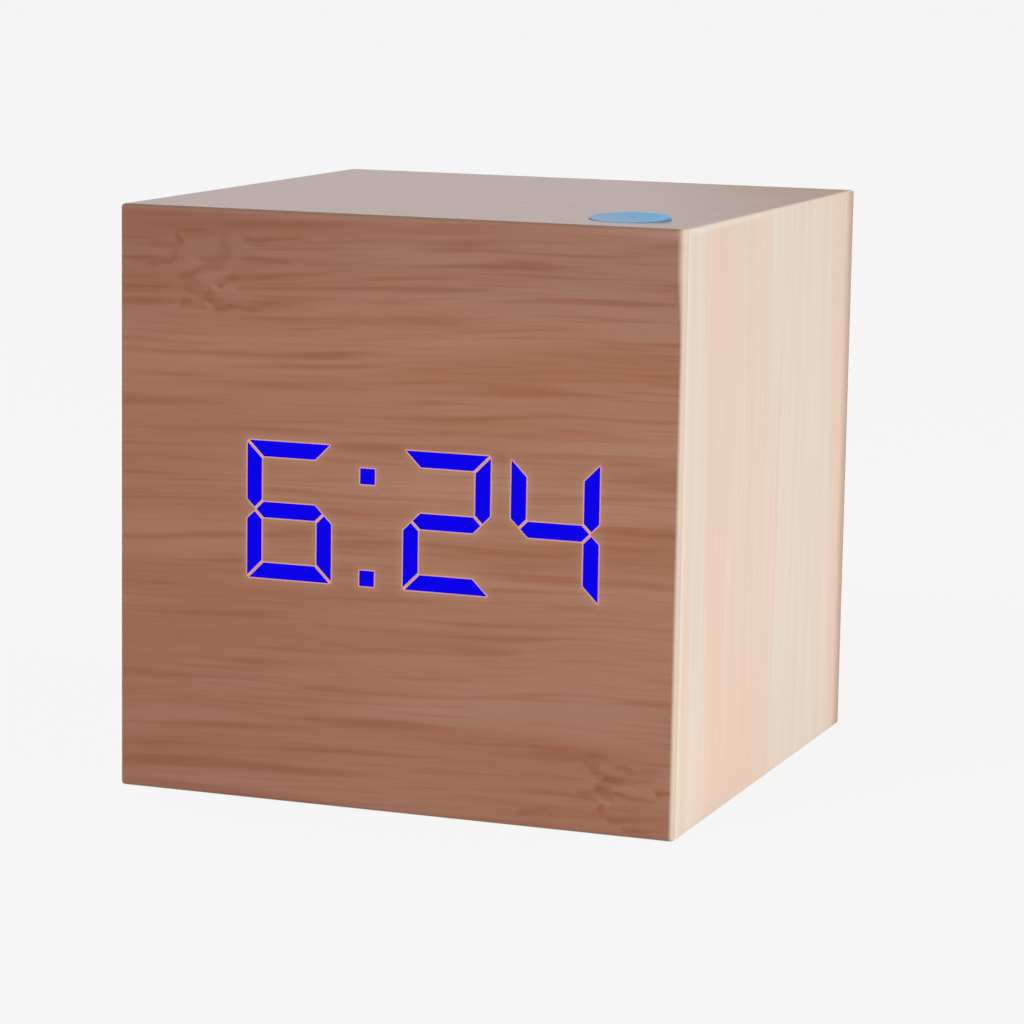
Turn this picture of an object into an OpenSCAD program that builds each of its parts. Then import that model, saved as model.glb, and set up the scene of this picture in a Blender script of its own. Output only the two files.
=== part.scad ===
// Cube alarm clock: a bamboo case whose display shines through a thin veneer.
// Millimetres. The origin is the middle of the base. +X is right, +Y is the rear, +Z is up.

/* [Case] */
// Width of the case
case_w = 60; // [52:0.5:90]
// Depth of the case
case_d = 60; // [56:0.5:90]
// Height of the case
case_h = 60; // [52:0.5:90]
// Thickness of the top, bottom and side boards
board_t = 4; // [3:0.1:4.4]
// Thickness of the board behind the veneer
front_board_t = 3.4; // [2.6:0.1:5]
// Thickness of the veneer that hides the display
veneer_t = 0.5; // [0.4:0.05:1]
// Radius of the eased outer edges
edge_r = 0.4; // [0.2:0.05:1.4]
// Side of the square glue blocks in the rear corners
block_s = 7; // [6:0.1:7.4]
// Length of the glue blocks
block_l = 14; // [12:0.5:20]

/* [Display] */
// Height of a digit
digit_h = 14; // [12:0.1:17]
// Width of a segment
segment_w = 1.6; // [1.2:0.1:2]
// Gap between neighbouring segments
segment_gap = 0.3; // [0.2:0.05:0.5]
// Gap between neighbouring digits
digit_gap = 2.15; // [1.6:0.05:3]
// Gap between the hour digit and the first minute digit
colon_gap = 7.75; // [6:0.05:9]
// Side of a colon dot
dot_s = 1.6; // [1.2:0.1:2]
// Height of the upper colon dot above the lower one
dot_rise = 10.3; // [6:0.1:10.8]
// Distance from the left board to the light mask
display_left = 4.625; // [3:0.125:6]
// Distance from the right board to the light mask
display_right = 2.525; // [1.5:0.025:4]
// Distance of the digits below the middle of the front
display_drop = 0.1; // [-3:0.1:3]
// Wall round the outside of the light mask
mask_wall = 1.8; // [1.2:0.1:2.2]
// Thickness of the lenses in the mouths of the mask
lens_t = 3; // [1:0.1:5]
// Clearance round a lens
lens_fit = 0.05; // [0.02:0.01:0.08]
// Clearance between the mask and its window
mask_fit = 0.2; // [0.1:0.05:0.4]

/* [Boards and screws] */
// Thickness of the circuit boards
pcb_t = 1.6; // [1:0.1:2]
// Gap between the display board and the side boards
pcb_side_gap = 1.2; // [0.6:0.1:2]
// Gap between the display board and the bottom board
pcb_low_gap = 3; // [1:0.1:5]
// Gap between the display board and the top board
pcb_top_gap = 2.5; // [1:0.1:3.5]
// Diameter of the display board's spacers
spacer_d = 5; // [4:0.1:6]
// Diameter of the shanks of the large screws
screw_d = 2; // [1.6:0.1:2.2]
// Diameter of the heads of the large screws
screw_head_d = 4; // [3.4:0.1:4.4]
// Length of the cover screws
cover_screw_l = 9; // [6:0.5:11]
// Diameter of the shanks of the small screws
small_screw_d = 1.5; // [1.2:0.1:1.7]
// Clearance round a screw shank, on the radius
screw_fit = 0.06; // [0.03:0.01:0.1]
// Diameter of the bosses under the small boards
boss_d = 3.4; // [3:0.1:3.8]

/* [Top key] */
// Diameter of the round key
top_key_d = 8; // [6:0.1:9]
// Height of the front of the key's sloping face above the top
top_key_front = 0.05; // [0.05:0.05:0.3]
// Height of the back of the key's sloping face above the top
top_key_back = 0.45; // [0.35:0.05:0.8]
// Width of the plain rim round the dished part of the face
top_key_rim = 0.3; // [0.2:0.05:0.8]
// Depth of the dished part of the face
top_key_dish = 0.15; // [0.1:0.05:0.25]
// Clearance round the key, on the radius
top_key_fit = 0.1; // [0.06:0.01:0.2]
// Width of the flange that keeps the key in
key_lip = 0.5; // [0.35:0.05:0.8]
// Thickness of the key flanges
key_flange_t = 0.8; // [0.6:0.1:1.2]
// Distance from the key flange to the walls beside it
top_key_gap = 0.2; // [0.15:0.05:0.6]

/* [Switches] */
// Travel of a pressed key
key_travel = 0.4; // [0.2:0.05:0.6]
// Side of the top key's push switch
switch_s = 6; // [5:0.1:6.2]
// Height of a push switch's body
switch_h = 3.5; // [3:0.1:4.5]
// Diameter of a push switch's plunger
plunger_d = 3.4; // [2.6:0.1:3.6]
// Length of a plunger above its switch
plunger_l = 1.5; // [1:0.1:2.5]
// Clearance round a plunger, on the radius
plunger_fit = 0.1; // [0.05:0.01:0.15]
// Length of the top key's stem below its flange
top_stem_l = 1.7; // [1:0.1:3]
// Diameter of a rear key
rear_key_d = 4.4; // [3.6:0.1:4.8]
// Height of a rear key above the cover
rear_key_rise = 0.9; // [0.5:0.1:1.3]
// Clearance round a rear key, on the radius
rear_key_fit = 0.1; // [0.06:0.01:0.2]
// Gap between the switches of the rear keys
switch_gap = 1.45; // [1:0.05:2]
// Gap beside the slide switch
slider_gap = 0.45; // [0.3:0.05:1]
// Height of the slide switch
slider_w = 3.6; // [3:0.1:4]
// Depth of the slide switch
slider_h = 3.4; // [3:0.1:4]
// Width of the slide switch's lever
lever_s = 1.6; // [1.2:0.1:2]
// Travel of the lever
lever_travel = 2; // [1.5:0.1:2.5]
// Height of the lever above the cover
lever_rise = 0.8; // [0.4:0.1:1.3]
// Clearance round the lever
lever_fit = 0.2; // [0.1:0.05:0.3]

/* [Rear cover] */
// Thickness of the cover
cover_t = 2.2; // [2:0.1:3]
// Depth of the cover below the rear edges
cover_recess = 1.5; // [1.4:0.1:3]
// Width of the rebate that seats the cover
rebate_w = 2; // [1:0.1:2.4]
// Clearance round the cover
cover_fit = 0.15; // [0.1:0.05:0.4]
// Wall of the battery tray
tray_t = 1.2; // [1:0.1:1.4]
// Distance between the battery tray and the side boards
tray_side_gap = 0.75; // [0.4:0.05:2]
// Height of the strip above the tray, which carries the keys
key_strip_h = 9.25; // [8.8:0.05:12]
// Height of the strip below the tray, which carries the inlet
inlet_strip_h = 8.05; // [7.8:0.05:12]
// Height of the tray's cradle ribs above its floor
cradle_h = 3; // [1.5:0.1:4.5]
// Thickness of ribs in the tray and on the door
rib_t = 1.2; // [0.8:0.1:1.6]
// Distance of the ribs from the middle
rib_x = 13; // [10:0.1:16]
// Diameter of a sound hole
sound_hole_d = 1.2; // [0.8:0.1:1.6]
// Step between the sound holes
sound_hole_pitch = 2.4; // [2:0.1:2.6]

/* [Battery door] */
// Thickness of the door
door_t = 1.4; // [1:0.1:1.6]
// Lap of the door over the edge of the tray
door_lap = 1; // [0.7:0.1:1.2]
// Clearance round the door
door_fit = 0.15; // [0.1:0.05:0.25]
// Space between the door and the cells
door_space = 3; // [2.6:0.1:4]
// Distance of the ribs' ends from the ends of the tray
rib_end = 4; // [2:0.1:8]
// Clearance between the door's ribs and the cells
rib_gap = 0.4; // [0.2:0.1:1]
// Width of a hinge hook
hook_w = 5; // [3:0.1:7]
// Distance of the hooks from the ends of the door
hook_inset = 10.9; // [6:0.1:14]
// Thickness of a hinge hook
hook_t = 1.1; // [0.9:0.1:1.2]
// Reach of a hinge hook below the tray wall
hook_reach = 0.8; // [0.5:0.1:1.1]
// Clearance round a hinge hook
hook_fit = 0.15; // [0.12:0.01:0.2]
// Width of the latch tongue
latch_w = 9; // [6:0.1:12]
// Thickness of the latch tongue
latch_t = 0.9; // [0.7:0.05:1]
// Outer radius of the bend of the latch
latch_r = 1.8; // [1.6:0.05:2]
// Catch of the latch behind the cover
latch_catch = 0.6; // [0.3:0.05:0.8]

/* [Battery] */
// Diameter of a cell's nub
nub_d = 3.8; // [3:0.1:4]
// Length of a cell's nub
nub_l = 0.9; // [0.6:0.1:1.2]
// Clearance between cells, and between a cell and the tray
cell_fit = 0.35; // [0.2:0.05:0.5]
// Thickness of the contact plates
contact_t = 0.4; // [0.3:0.05:0.5]
// Distance of a contact plate's edge inside the edge of its cell
contact_inset = 0.95; // [0.6:0.05:1.5]
// Length of a pressed contact spring
spring_l = 3; // [2.6:0.1:3.4]
// Diameter of the spring wire
wire_d = 0.5; // [0.4:0.05:0.55]
// Distance of a contact spring inside the edge of its plate
spring_inset = 1; // [0.6:0.1:1.5]
// Diameter of a contact spring at its cell, to the middle of the wire
spring_narrow_d = 3.6; // [3:0.1:4]
// Length of a solder tag behind the tray
tag_l = 2; // [1:0.1:4]
// Width of a solder tag
tag_w = 2.4; // [1.5:0.1:3]

/* [Inlet] */
// Width of the inlet shell
inlet_w = 7.5; // [7.2:0.1:8]
// Height of the inlet shell
inlet_h = 2.6; // [2.4:0.1:3]
// Wall of the inlet shell
inlet_wall = 0.3; // [0.2:0.05:0.4]
// Depth of the inlet's mouth below the cover's face
inlet_depth = 0.8; // [0.3:0.1:1.4]
// Clearance between the inlet and its opening
inlet_fit = 0.3; // [0.2:0.05:0.6]
// Length of the inlet's tongue
tongue_l = 5; // [4:0.1:5.5]
// Thickness of the inlet's tongue
tongue_t = 0.6; // [0.5:0.05:0.8]
// Diameter of the microphone
mic_d = 6; // [5:0.1:6.4]
// Depth of the microphone
mic_h = 5; // [3:0.1:5.4]

/* [Parts on the display board] */
// Diameter of the buzzer
buzzer_d = 12; // [9:0.1:14]
// Height of the buzzer
buzzer_h = 8.5; // [6:0.1:10]
// Length of the controller chip
chip_l = 10.3; // [8:0.1:12.8]
// Width of the controller chip, without its leads
chip_w = 7.5; // [6:0.1:8]
// Height of the controller chip
chip_h = 2.3; // [1.6:0.1:2.6]
// Length of the crystal
crystal_l = 11; // [10:0.1:12]
// Width of the crystal
crystal_w = 4.6; // [4:0.1:5]
// Height of the crystal
crystal_h = 3.5; // [3:0.1:4]
// Gap between the parts on the board
part_gap = 1.5; // [0.8:0.1:3]
// Height of the controller chip above the middle of the digits
chip_rise = 2; // [0:0.1:4]
// Diameter of the capacitor
capacitor_d = 5; // [4:0.1:6]
// Height of the capacitor
capacitor_h = 7; // [5:0.1:11]
// Diameter of a battery lead
lead_d = 1.2; // [1:0.1:1.6]
// Thickness of the flat cables
ribbon_t = 0.8; // [0.6:0.1:1.2]

/* [Hidden] */
$fn = 48;
// Overshoot of cuts, so that no cut ends on a face
over = 1;
root2 = sqrt(2);

// Planes of the case
front_y = -case_d / 2;
rear_y = case_d / 2;
veneer_y = front_y + veneer_t;
cavity_y = veneer_y + front_board_t;
cavity_w = case_w - 2 * board_t;
cavity_top = case_h - board_t;

// Planes of the rear cover
cover_face_y = rear_y - cover_recess;
cover_back_y = cover_face_y - cover_t;
cover_w = cavity_w + 2 * (rebate_w - cover_fit);
cover_h = case_h - 2 * board_t + 2 * (rebate_w - cover_fit);
cover_corner_r = 1;
block_x = cavity_w / 2 - block_s / 2;
block_z = [board_t + block_s / 2, cavity_top - block_s / 2];

// Battery tray: three cells fill it, along X, each nub on a plate and each base on a spring
tray_l = cavity_w - 2 * (tray_t + tray_side_gap);
tray_low = board_t + inlet_strip_h + tray_t;
tray_high = cavity_top - key_strip_h - tray_t;
tray_z = (tray_low + tray_high) / 2;
cell_l = tray_l - spring_l - 2 * contact_t;
cell_d = (tray_high - tray_low - 4 * cell_fit) / 3;
cell_pitch = cell_d + cell_fit;
contact_s = cell_d - 2 * contact_inset;
spring_wide_d = contact_s - 2 * spring_inset;
cell_y = cover_face_y - door_t - door_space - cell_d / 2;
tray_floor_y = cell_y - cell_d / 2 - cell_fit;
tray_back_y = tray_floor_y - tray_t;
cradle_fit = 0.1;
// Rows of cells from the bottom up: height, and the side that the nub points to
cell_rows = [[tray_z - cell_pitch, 1], [tray_z, -1], [tray_z + cell_pitch, 1]];
tag_end_y = tray_back_y - tag_l;
tag_fit = 0.15;

// Battery door: it swings on the lower outer edge
door_w = tray_l + 2 * (door_lap - door_fit);
door_low = tray_low - door_lap + door_fit;
door_high = tray_high + door_lap - door_fit;
door_back_y = cover_face_y - door_t;
door_corner_r = 1;
hook_x = door_w / 2 - hook_inset;
hook_root_z = tray_low + hook_fit;
// The hook's face clears the cover's edge, which sweeps this radius round the hinge line
edge_swing = norm([cover_t, tray_low - door_low]);
hook_y = cover_face_y - edge_swing - hook_fit;
hook_back_y = hook_y - hook_t;
hook_tip_z = tray_low - tray_t - hook_reach;
hook_swing = norm([cover_face_y - hook_back_y, door_low - hook_tip_z]);
hook_room = 0.3;
latch_notch = 5;
latch_gap = 0.3;
latch_side = 0.3;
latch_bend_depth = 2.7;

// Strips of the cover above and below the tray, which hold the small boards
strip_gap = 0.5;
upper_low = tray_high + tray_t;
upper_z = (upper_low + cavity_top) / 2;
lower_high = tray_low - tray_t;
lower_z = (lower_high + board_t) / 2;
small_pcb_y = cover_back_y - key_flange_t - plunger_l - switch_h;
boss_rim = 0.2;
boss_inset = boss_d / 2 + boss_rim;
boss_floor = 0.6;

// Control board: three keys and the slide switch share the row between two bosses
control_w = cavity_w - 2 * block_s - 2 * strip_gap;
control_h = cavity_top - upper_low - 2 * strip_gap;
control_boss_x = control_w / 2 - boss_inset;
control_row = 2 * control_boss_x - boss_d;
key_place = control_row / 4;
rear_switch_s = key_place - switch_gap;
slider_l = key_place - slider_gap;
key_xs = [for (i = [0:2]) (i + 0.5) * key_place - control_row / 2];
slider_x = (control_row - key_place) / 2;
lever_x = slider_x - lever_travel / 2;

// Inlet board: the inlet and the microphone, between two bosses
inlet_gap = 1;
mic_gap = 0.5;
sound_gap = 1.8;
inlet_boss_x = inlet_w / 2 + boss_d / 2 + inlet_gap;
mic_x = inlet_w / 2 + mic_d / 2 + inlet_gap;
mic_boss_x = mic_x + mic_d / 2 + boss_d / 2 + mic_gap;
inlet_board_h = lower_high - board_t - 2 * strip_gap;
inlet_board_x = [-inlet_boss_x - boss_inset, mic_boss_x + boss_inset];
sound_holes_x = -inlet_boss_x - boss_inset - sound_hole_pitch - sound_hole_d / 2 - sound_gap;
mic_hole_d = 1.2;

// Top key in the corner of the cavity
top_hole_r = top_key_d / 2 + top_key_fit;
top_flange_r = top_key_d / 2 + key_lip;
top_key_x = cavity_w / 2 - top_flange_r - top_key_gap;
top_key_y = cavity_y + top_flange_r + top_key_gap;
top_stem_z = cavity_top - key_flange_t - top_stem_l;
top_switch_z = top_stem_z - plunger_l;
plunger_hold = 0.3;
plunger_root = key_travel + plunger_hold;
plunger_room = 0.3;

// Display board, which also carries the top key's switch
pcb_y = top_key_y + switch_s / 2;
pcb_back_y = pcb_y + pcb_t;
pcb_w = cavity_w - 2 * pcb_side_gap;
pcb_low = board_t + pcb_low_gap;
pcb_high = cavity_top - pcb_top_gap;
spacer_gap = 1.8;
spacer_edge = 1.5;
spacer_x = top_key_x - switch_s / 2 - spacer_d / 2 - spacer_gap;
spacer_z = [pcb_low + spacer_d / 2 + spacer_edge, pcb_high - spacer_d / 2 - spacer_edge];
screw_head_t = 1.3;
screw_tip_wall = 0.8;
pilot_room = 0.2;

// Light mask, which leaves its margins at both sides of the cavity, and the digits that fill it
mask_x = [display_left - cavity_w / 2, cavity_w / 2 - display_right];
digit_w = (mask_x[1] - mask_x[0] - 2 * mask_wall - segment_w - colon_gap - 2 * digit_gap) / 3;
digit_pitch = digit_w + digit_gap;
colon_pitch = digit_w + colon_gap;
minute_x = mask_x[1] - mask_wall - digit_w / 2 - digit_pitch;
hour_x = minute_x - colon_pitch;
colon_x = (hour_x + minute_x) / 2;
display_z = case_h / 2 - display_drop;
mask_z = [display_z - digit_h / 2 - mask_wall, display_z + digit_h / 2 + mask_wall];
// Digits from left to right: place, lit segments and segments that exist
digit_places = [
    [hour_x - digit_pitch, "", "bc"],
    [hour_x, "acdefg", "abcdefg"],
    [minute_x, "abdeg", "abcdefg"],
    [minute_x + digit_pitch, "bcfg", "abcdefg"]
];
dot_low_z = display_z - digit_h / 2 + dot_s / 2;
peg_d = 1.2;
peg_fit = 0.05;
peg_rise = 0.4;
led_size = [1.6, 0.8, 0.6];
// Size of a dot's chip, as a share of the dot
dot_led_share = 0.8;

// Places of the parts on the rear of the display board
chip_lead_w = 0.42;
chip_lead_pitch = 1.27;
chip_lead_reach = 1.4;
chip_lead_t = 0.25;
chip_half_h = chip_w / 2 + chip_lead_reach;
resistor_size = [1.6, 0.8, 0.45];
resistor_pitch = 2.2;
chip_place = [pcb_w / 4, display_z + chip_rise];
crystal_place = [pcb_w / 4, chip_place[1] - chip_half_h - part_gap - crystal_w / 2];
buzzer_place = [-pcb_w / 4, chip_place[1]];
capacitor_place = [-pcb_w / 4, buzzer_place[1] - buzzer_d / 2 - part_gap - capacitor_d / 2];
resistor_place = [0, chip_place[1] + chip_half_h + part_gap + resistor_size[0] / 2];

// Sag and steps of the cables inside the case
lead_sag = 3;
ribbon_sag = 2.5;
cable_steps = 12;
control_ribbon_w = 8;
inlet_ribbon_w = 4;
// Height of the cables' ends on the display board
ribbon_edge = 2;
control_ribbon_z = pcb_high - ribbon_edge;
inlet_ribbon_z = pcb_low + ribbon_edge;

// Colours
bamboo_brown = [0.61, 0.43, 0.34];
bamboo_pale = [0.91, 0.82, 0.74];
key_blue = [0.4, 0.63, 0.8];
glow_blue = [0.05, 0, 0.95];
moulded_black = [0.1, 0.1, 0.11];
board_green = [0.08, 0.3, 0.16];
metal = [0.75, 0.75, 0.77];

// Puts a profile drawn in X and Z between two depths
module slab(y0, y1) {
    translate([0, y1, 0])
        rotate([90, 0, 0])
            linear_extrude(y1 - y0)
                children();
}

// A round bar along Y
module bar_y(x, z, d, y0, y1) {
    translate([x, y0, z])
        rotate([-90, 0, 0])
            cylinder(d = d, h = y1 - y0);
}

// A box between two corners
module box(low, high) {
    translate(low)
        cube(high - low);
}

// A rectangle with round corners, about its middle
module round_rect(w, h, r) {
    square([w - 2 * r, h], center = true);
    square([w, h - 2 * r], center = true);
    for (x = [-1, 1], z = [-1, 1])
        translate([x * (w / 2 - r), z * (h / 2 - r)])
            circle(r);
}

// The case as one block with eased edges
module case_block() {
    intersection() {
        slab(front_y - over, rear_y + over)
            translate([0, case_h / 2])
                round_rect(case_w, case_h, edge_r);
        translate([-case_w / 2 - over, 0, case_h / 2])
            rotate([90, 0, 90])
                linear_extrude(case_w + 2 * over)
                    round_rect(case_d, case_h, edge_r);
        translate([0, 0, -over])
            linear_extrude(case_h + 2 * over)
                round_rect(case_w, case_d, edge_r);
    }
}

// The space inside the boards, and the wider rebate that seats the cover
module cavity() {
    box([-cavity_w / 2, veneer_y - over, board_t], [cavity_w / 2, rear_y + over, cavity_top]);
    box([-cavity_w / 2 - rebate_w, cover_back_y, board_t - rebate_w],
        [cavity_w / 2 + rebate_w, rear_y + over, cavity_top + rebate_w]);
}

// One side of the sleeve, cut to 45 degrees where it meets its neighbours
module sleeve_side(turn) {
    reach = turn % 180 == 0 ? case_h / 2 : case_w / 2;
    span = turn % 180 == 0 ? case_w / 2 : case_h / 2;
    difference() {
        intersection() {
            case_block();
            translate([0, 0, case_h / 2])
                rotate([0, turn, 0])
                    translate([0, 0, -case_h / 2])
                        slab(veneer_y, rear_y + over)
                            translate([0, case_h / 2])
                                polygon([
                                    [-span - over, reach + over],
                                    [span + over, reach + over],
                                    [span - board_t - over, reach - board_t - over],
                                    [-span + board_t + over, reach - board_t - over]
                                ]);
        }
        cavity();
    }
}

// Corners of a segment about the middle of its digit, drawn in by inset
function segment_points(name, inset) =
    let (w = digit_w / 2,
         h = digit_h / 2,
         t = segment_w,
         cut = segment_gap / root2 + inset * root2)
    name == "a" || name == "d" ?
        let (s = name == "a" ? 1 : -1,
             wide = w - cut - inset,
             slim = w - cut - t + inset)
        [[-wide, s * (h - inset)], [wide, s * (h - inset)],
         [slim, s * (h - t + inset)], [-slim, s * (h - t + inset)]]
    : name == "g" ?
        let (tip = w - t / 2 - cut,
             half = t / 2 - inset)
        [[-tip, 0], [half - tip, half], [tip - half, half],
         [tip, 0], [tip - half, -half], [half - tip, -half]]
    :
        let (sx = name == "b" || name == "c" ? 1 : -1,
             sz = name == "b" || name == "f" ? 1 : -1,
             half = t / 2 - inset)
        [[sx * (w - inset), sz * (h - cut - inset)],
         [sx * (w - inset), sz * (cut + half)],
         [sx * (w - t / 2), sz * cut],
         [sx * (w - t + inset), sz * (cut + half)],
         [sx * (w - t + inset), sz * (h - cut - t + inset)]];

// All segments and dots, or only those that are lit
module segments(inset, lit) {
    for (place = digit_places)
        for (name = lit ? place[1] : place[2])
            translate([place[0], display_z])
                polygon(segment_points(name, inset));
    for (rise = [0, dot_rise])
        translate([colon_x, dot_low_z + rise])
            square(dot_s - 2 * inset, center = true);
}

// Middle of a segment about the middle of its digit
function segment_middle(name) =
    let (x = (digit_w - segment_w) / 2,
         z = digit_h / 4)
    name == "a" ? [0, (digit_h - segment_w) / 2] :
    name == "d" ? [0, (segment_w - digit_h) / 2] :
    name == "g" ? [0, 0] :
    [name == "b" || name == "c" ? x : -x, name == "b" || name == "f" ? z : -z];

module front_veneer() {
    color(bamboo_brown)
        difference() {
            intersection() {
                case_block();
                box([-case_w, front_y - over, -over], [case_w, veneer_y, case_h + over]);
            }
            slab(front_y - over, veneer_y + over)
                segments(0, true);
        }
}

module lit_segments() {
    color(glow_blue)
        slab(front_y, veneer_y)
            segments(0, true);
}

module front_board() {
    color(bamboo_brown)
        difference() {
            box([-cavity_w / 2, veneer_y, board_t], [cavity_w / 2, cavity_y, cavity_top]);
            box([mask_x[0] - mask_fit, veneer_y - over, mask_z[0] - mask_fit],
                [mask_x[1] + mask_fit, cavity_y + over, mask_z[1] + mask_fit]);
            for (x = [-1, 1], z = spacer_z)
                bar_y(x * spacer_x, z, screw_d + 2 * screw_fit, veneer_y + screw_tip_wall, cavity_y + over);
        }
}

module top_board() {
    color(bamboo_brown)
        difference() {
            sleeve_side(0);
            translate([top_key_x, top_key_y, cavity_top - over])
                cylinder(r = top_hole_r, h = board_t + 2 * over);
        }
}

module bottom_board() {
    color(bamboo_brown)
        sleeve_side(180);
}

module left_board() {
    color(bamboo_pale)
        sleeve_side(270);
}

module right_board() {
    color(bamboo_pale)
        sleeve_side(90);
}

module corner_blocks() {
    color(bamboo_pale)
        for (x = [-1, 1], z = block_z)
            difference() {
                translate([x * block_x, cover_back_y - block_l / 2, z])
                    cube([block_s, block_l, block_s], center = true);
                bar_y(x * block_x, z, screw_d + 2 * screw_fit,
                      cover_face_y - cover_screw_l - pilot_room, cover_back_y + over);
            }
}

module snooze_key() {
    face_z = case_h + (top_key_front + top_key_back) / 2;
    flange_z = cavity_top - key_flange_t;
    blank_z = case_h + top_key_back + over;
    r = top_key_d / 2;
    tilt = atan((top_key_back - top_key_front) / top_key_d);
    dish_r = r - top_key_rim;
    ball_r = (dish_r * dish_r + top_key_dish * top_key_dish) / (2 * top_key_dish);
    color(key_blue)
        translate([top_key_x, top_key_y, 0])
            difference() {
                rotate_extrude()
                    polygon([
                        [0, top_stem_z], [plunger_d / 2, top_stem_z], [plunger_d / 2, flange_z],
                        [top_flange_r, flange_z], [top_flange_r, cavity_top], [r, cavity_top],
                        [r, blank_z], [0, blank_z]
                    ]);
                translate([0, 0, face_z])
                    rotate([tilt, 0, 0]) {
                        translate([-top_key_d, -top_key_d, 0])
                            cube([2 * top_key_d, 2 * top_key_d, top_key_d]);
                        translate([0, 0, ball_r - top_key_dish])
                            sphere(ball_r);
                    }
            }
}

module snooze_plunger() {
    color(moulded_black)
        translate([top_key_x, top_key_y, top_switch_z - plunger_root + key_travel])
            cylinder(d = plunger_d, h = plunger_l + plunger_root - key_travel);
}

// A push switch with its body below the origin and its well open upwards
module push_switch(side) {
    well = plunger_root + plunger_room;
    difference() {
        translate([-side / 2, -side / 2, -switch_h])
            cube([side, side, switch_h]);
        translate([0, 0, -well])
            cylinder(r = plunger_d / 2 + plunger_fit, h = well + over);
    }
}

module snooze_switch() {
    color(metal)
        translate([top_key_x, top_key_y, top_switch_z])
            push_switch(switch_s);
}

module segment_mask() {
    color(moulded_black) {
        difference() {
            box([mask_x[0], veneer_y, mask_z[0]], [mask_x[1], pcb_y, mask_z[1]]);
            slab(veneer_y - over, pcb_y + over)
                segments(0, false);
        }
        mask_pegs(0, peg_rise);
    }
}

// The pegs that hold the mask on its board, in the thick corners of the mask
module mask_pegs(fit, rise) {
    for (x = [mask_x[0] + mask_wall / 2, mask_x[1] - mask_wall / 2],
         z = [mask_z[0] + mask_wall / 2, mask_z[1] - mask_wall / 2])
        bar_y(x, z, peg_d + 2 * fit, pcb_y, pcb_back_y + rise);
}

module segment_lenses() {
    color([0.85, 0.88, 0.95])
        slab(veneer_y, veneer_y + lens_t)
            segments(lens_fit, false);
}

module segment_leds() {
    color([0.95, 0.93, 0.75]) {
        for (place = digit_places)
            for (name = place[2])
                led(place[0] + segment_middle(name)[0], display_z + segment_middle(name)[1],
                    name == "a" || name == "d" || name == "g");
        for (rise = [0, dot_rise])
            led(colon_x, dot_low_z + rise, false, dot_s / led_size[0] * dot_led_share);
    }
}

// A light-emitting chip on the display board, lying or standing
module led(x, z, lying, size = 1) {
    w = size * (lying ? led_size[0] : led_size[1]);
    h = size * (lying ? led_size[1] : led_size[0]);
    box([x - w / 2, pcb_y - led_size[2], z - h / 2], [x + w / 2, pcb_y, z + h / 2]);
}

module display_board() {
    color(board_green)
        difference() {
            box([-pcb_w / 2, pcb_y, pcb_low], [pcb_w / 2, pcb_back_y, pcb_high]);
            for (x = [-1, 1], z = spacer_z)
                bar_y(x * spacer_x, z, screw_d + 2 * screw_fit, pcb_y - over, pcb_back_y + over);
            translate([0, -over, 0])
                mask_pegs(peg_fit, 3 * over);
        }
}

module board_spacers() {
    color([0.92, 0.92, 0.9])
        for (x = [-1, 1], z = spacer_z)
            difference() {
                bar_y(x * spacer_x, z, spacer_d, cavity_y, pcb_y);
                bar_y(x * spacer_x, z, screw_d + 2 * screw_fit, cavity_y - over, pcb_y + over);
            }
}

// A cross recess in a screw's head, along Y
module cross_recess(head_d, y0, y1) {
    arm = 0.6 * head_d;
    slot = 0.14 * head_d;
    box([-arm / 2, y0, -slot / 2], [arm / 2, y1, slot / 2]);
    box([-slot / 2, y0, -arm / 2], [slot / 2, y1, arm / 2]);
}

// A pan-head screw whose shank runs from its seat to its tip along Y
module pan_screw(shank_d, head_d, head_t, tip_y) {
    side = tip_y > 0 ? -1 : 1;
    difference() {
        union() {
            bar_y(0, 0, shank_d, min(0, tip_y), max(0, tip_y));
            bar_y(0, 0, head_d, min(0, side * head_t), max(0, side * head_t));
        }
        cross_recess(head_d, min(side * head_t / 2, side * (head_t + over)),
                     max(side * head_t / 2, side * (head_t + over)));
    }
}

module board_screws() {
    tip_y = veneer_y + screw_tip_wall + pilot_room - pcb_back_y;
    color(metal)
        for (x = [-1, 1], z = spacer_z)
            translate([x * spacer_x, pcb_back_y, z])
                pan_screw(screw_d, screw_head_d, screw_head_t, tip_y);
}

module controller_chip() {
    leads = floor(chip_l / chip_lead_pitch);
    lead_mid = chip_h / 2;
    color(moulded_black)
        translate([chip_place[0], pcb_back_y, chip_place[1]]) {
            box([-chip_l / 2, chip_lead_t / 2, -chip_w / 2], [chip_l / 2, chip_h, chip_w / 2]);
            for (i = [0:leads - 1], side = [-1, 1])
                translate([(i - (leads - 1) / 2) * chip_lead_pitch - chip_lead_w / 2, 0, 0])
                    rotate([90, 0, 90])
                        linear_extrude(chip_lead_w)
                            chip_lead(side, lead_mid);
        }
}

// The bent profile of a chip's lead, in Y and Z
module chip_lead(side, mid) {
    t = chip_lead_t;
    root = chip_w / 2 - chip_lead_w / 2;
    knee = chip_w / 2 + chip_lead_reach / 2;
    foot = chip_w / 2 + chip_lead_reach;
    polygon([for (p = [
        [mid, root], [mid, knee], [t, knee], [t, foot],
        [0, foot], [0, knee - t], [mid - t, knee - t], [mid - t, root]
    ]) [p[0], side * p[1]]]);
}

module crystal() {
    color(metal)
        translate([crystal_place[0], pcb_back_y, crystal_place[1]])
            slab(0, crystal_h) {
                square([crystal_l - crystal_w, crystal_w], center = true);
                for (x = [-1, 1])
                    translate([x * (crystal_l - crystal_w) / 2, 0])
                        circle(d = crystal_w);
            }
}

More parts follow.
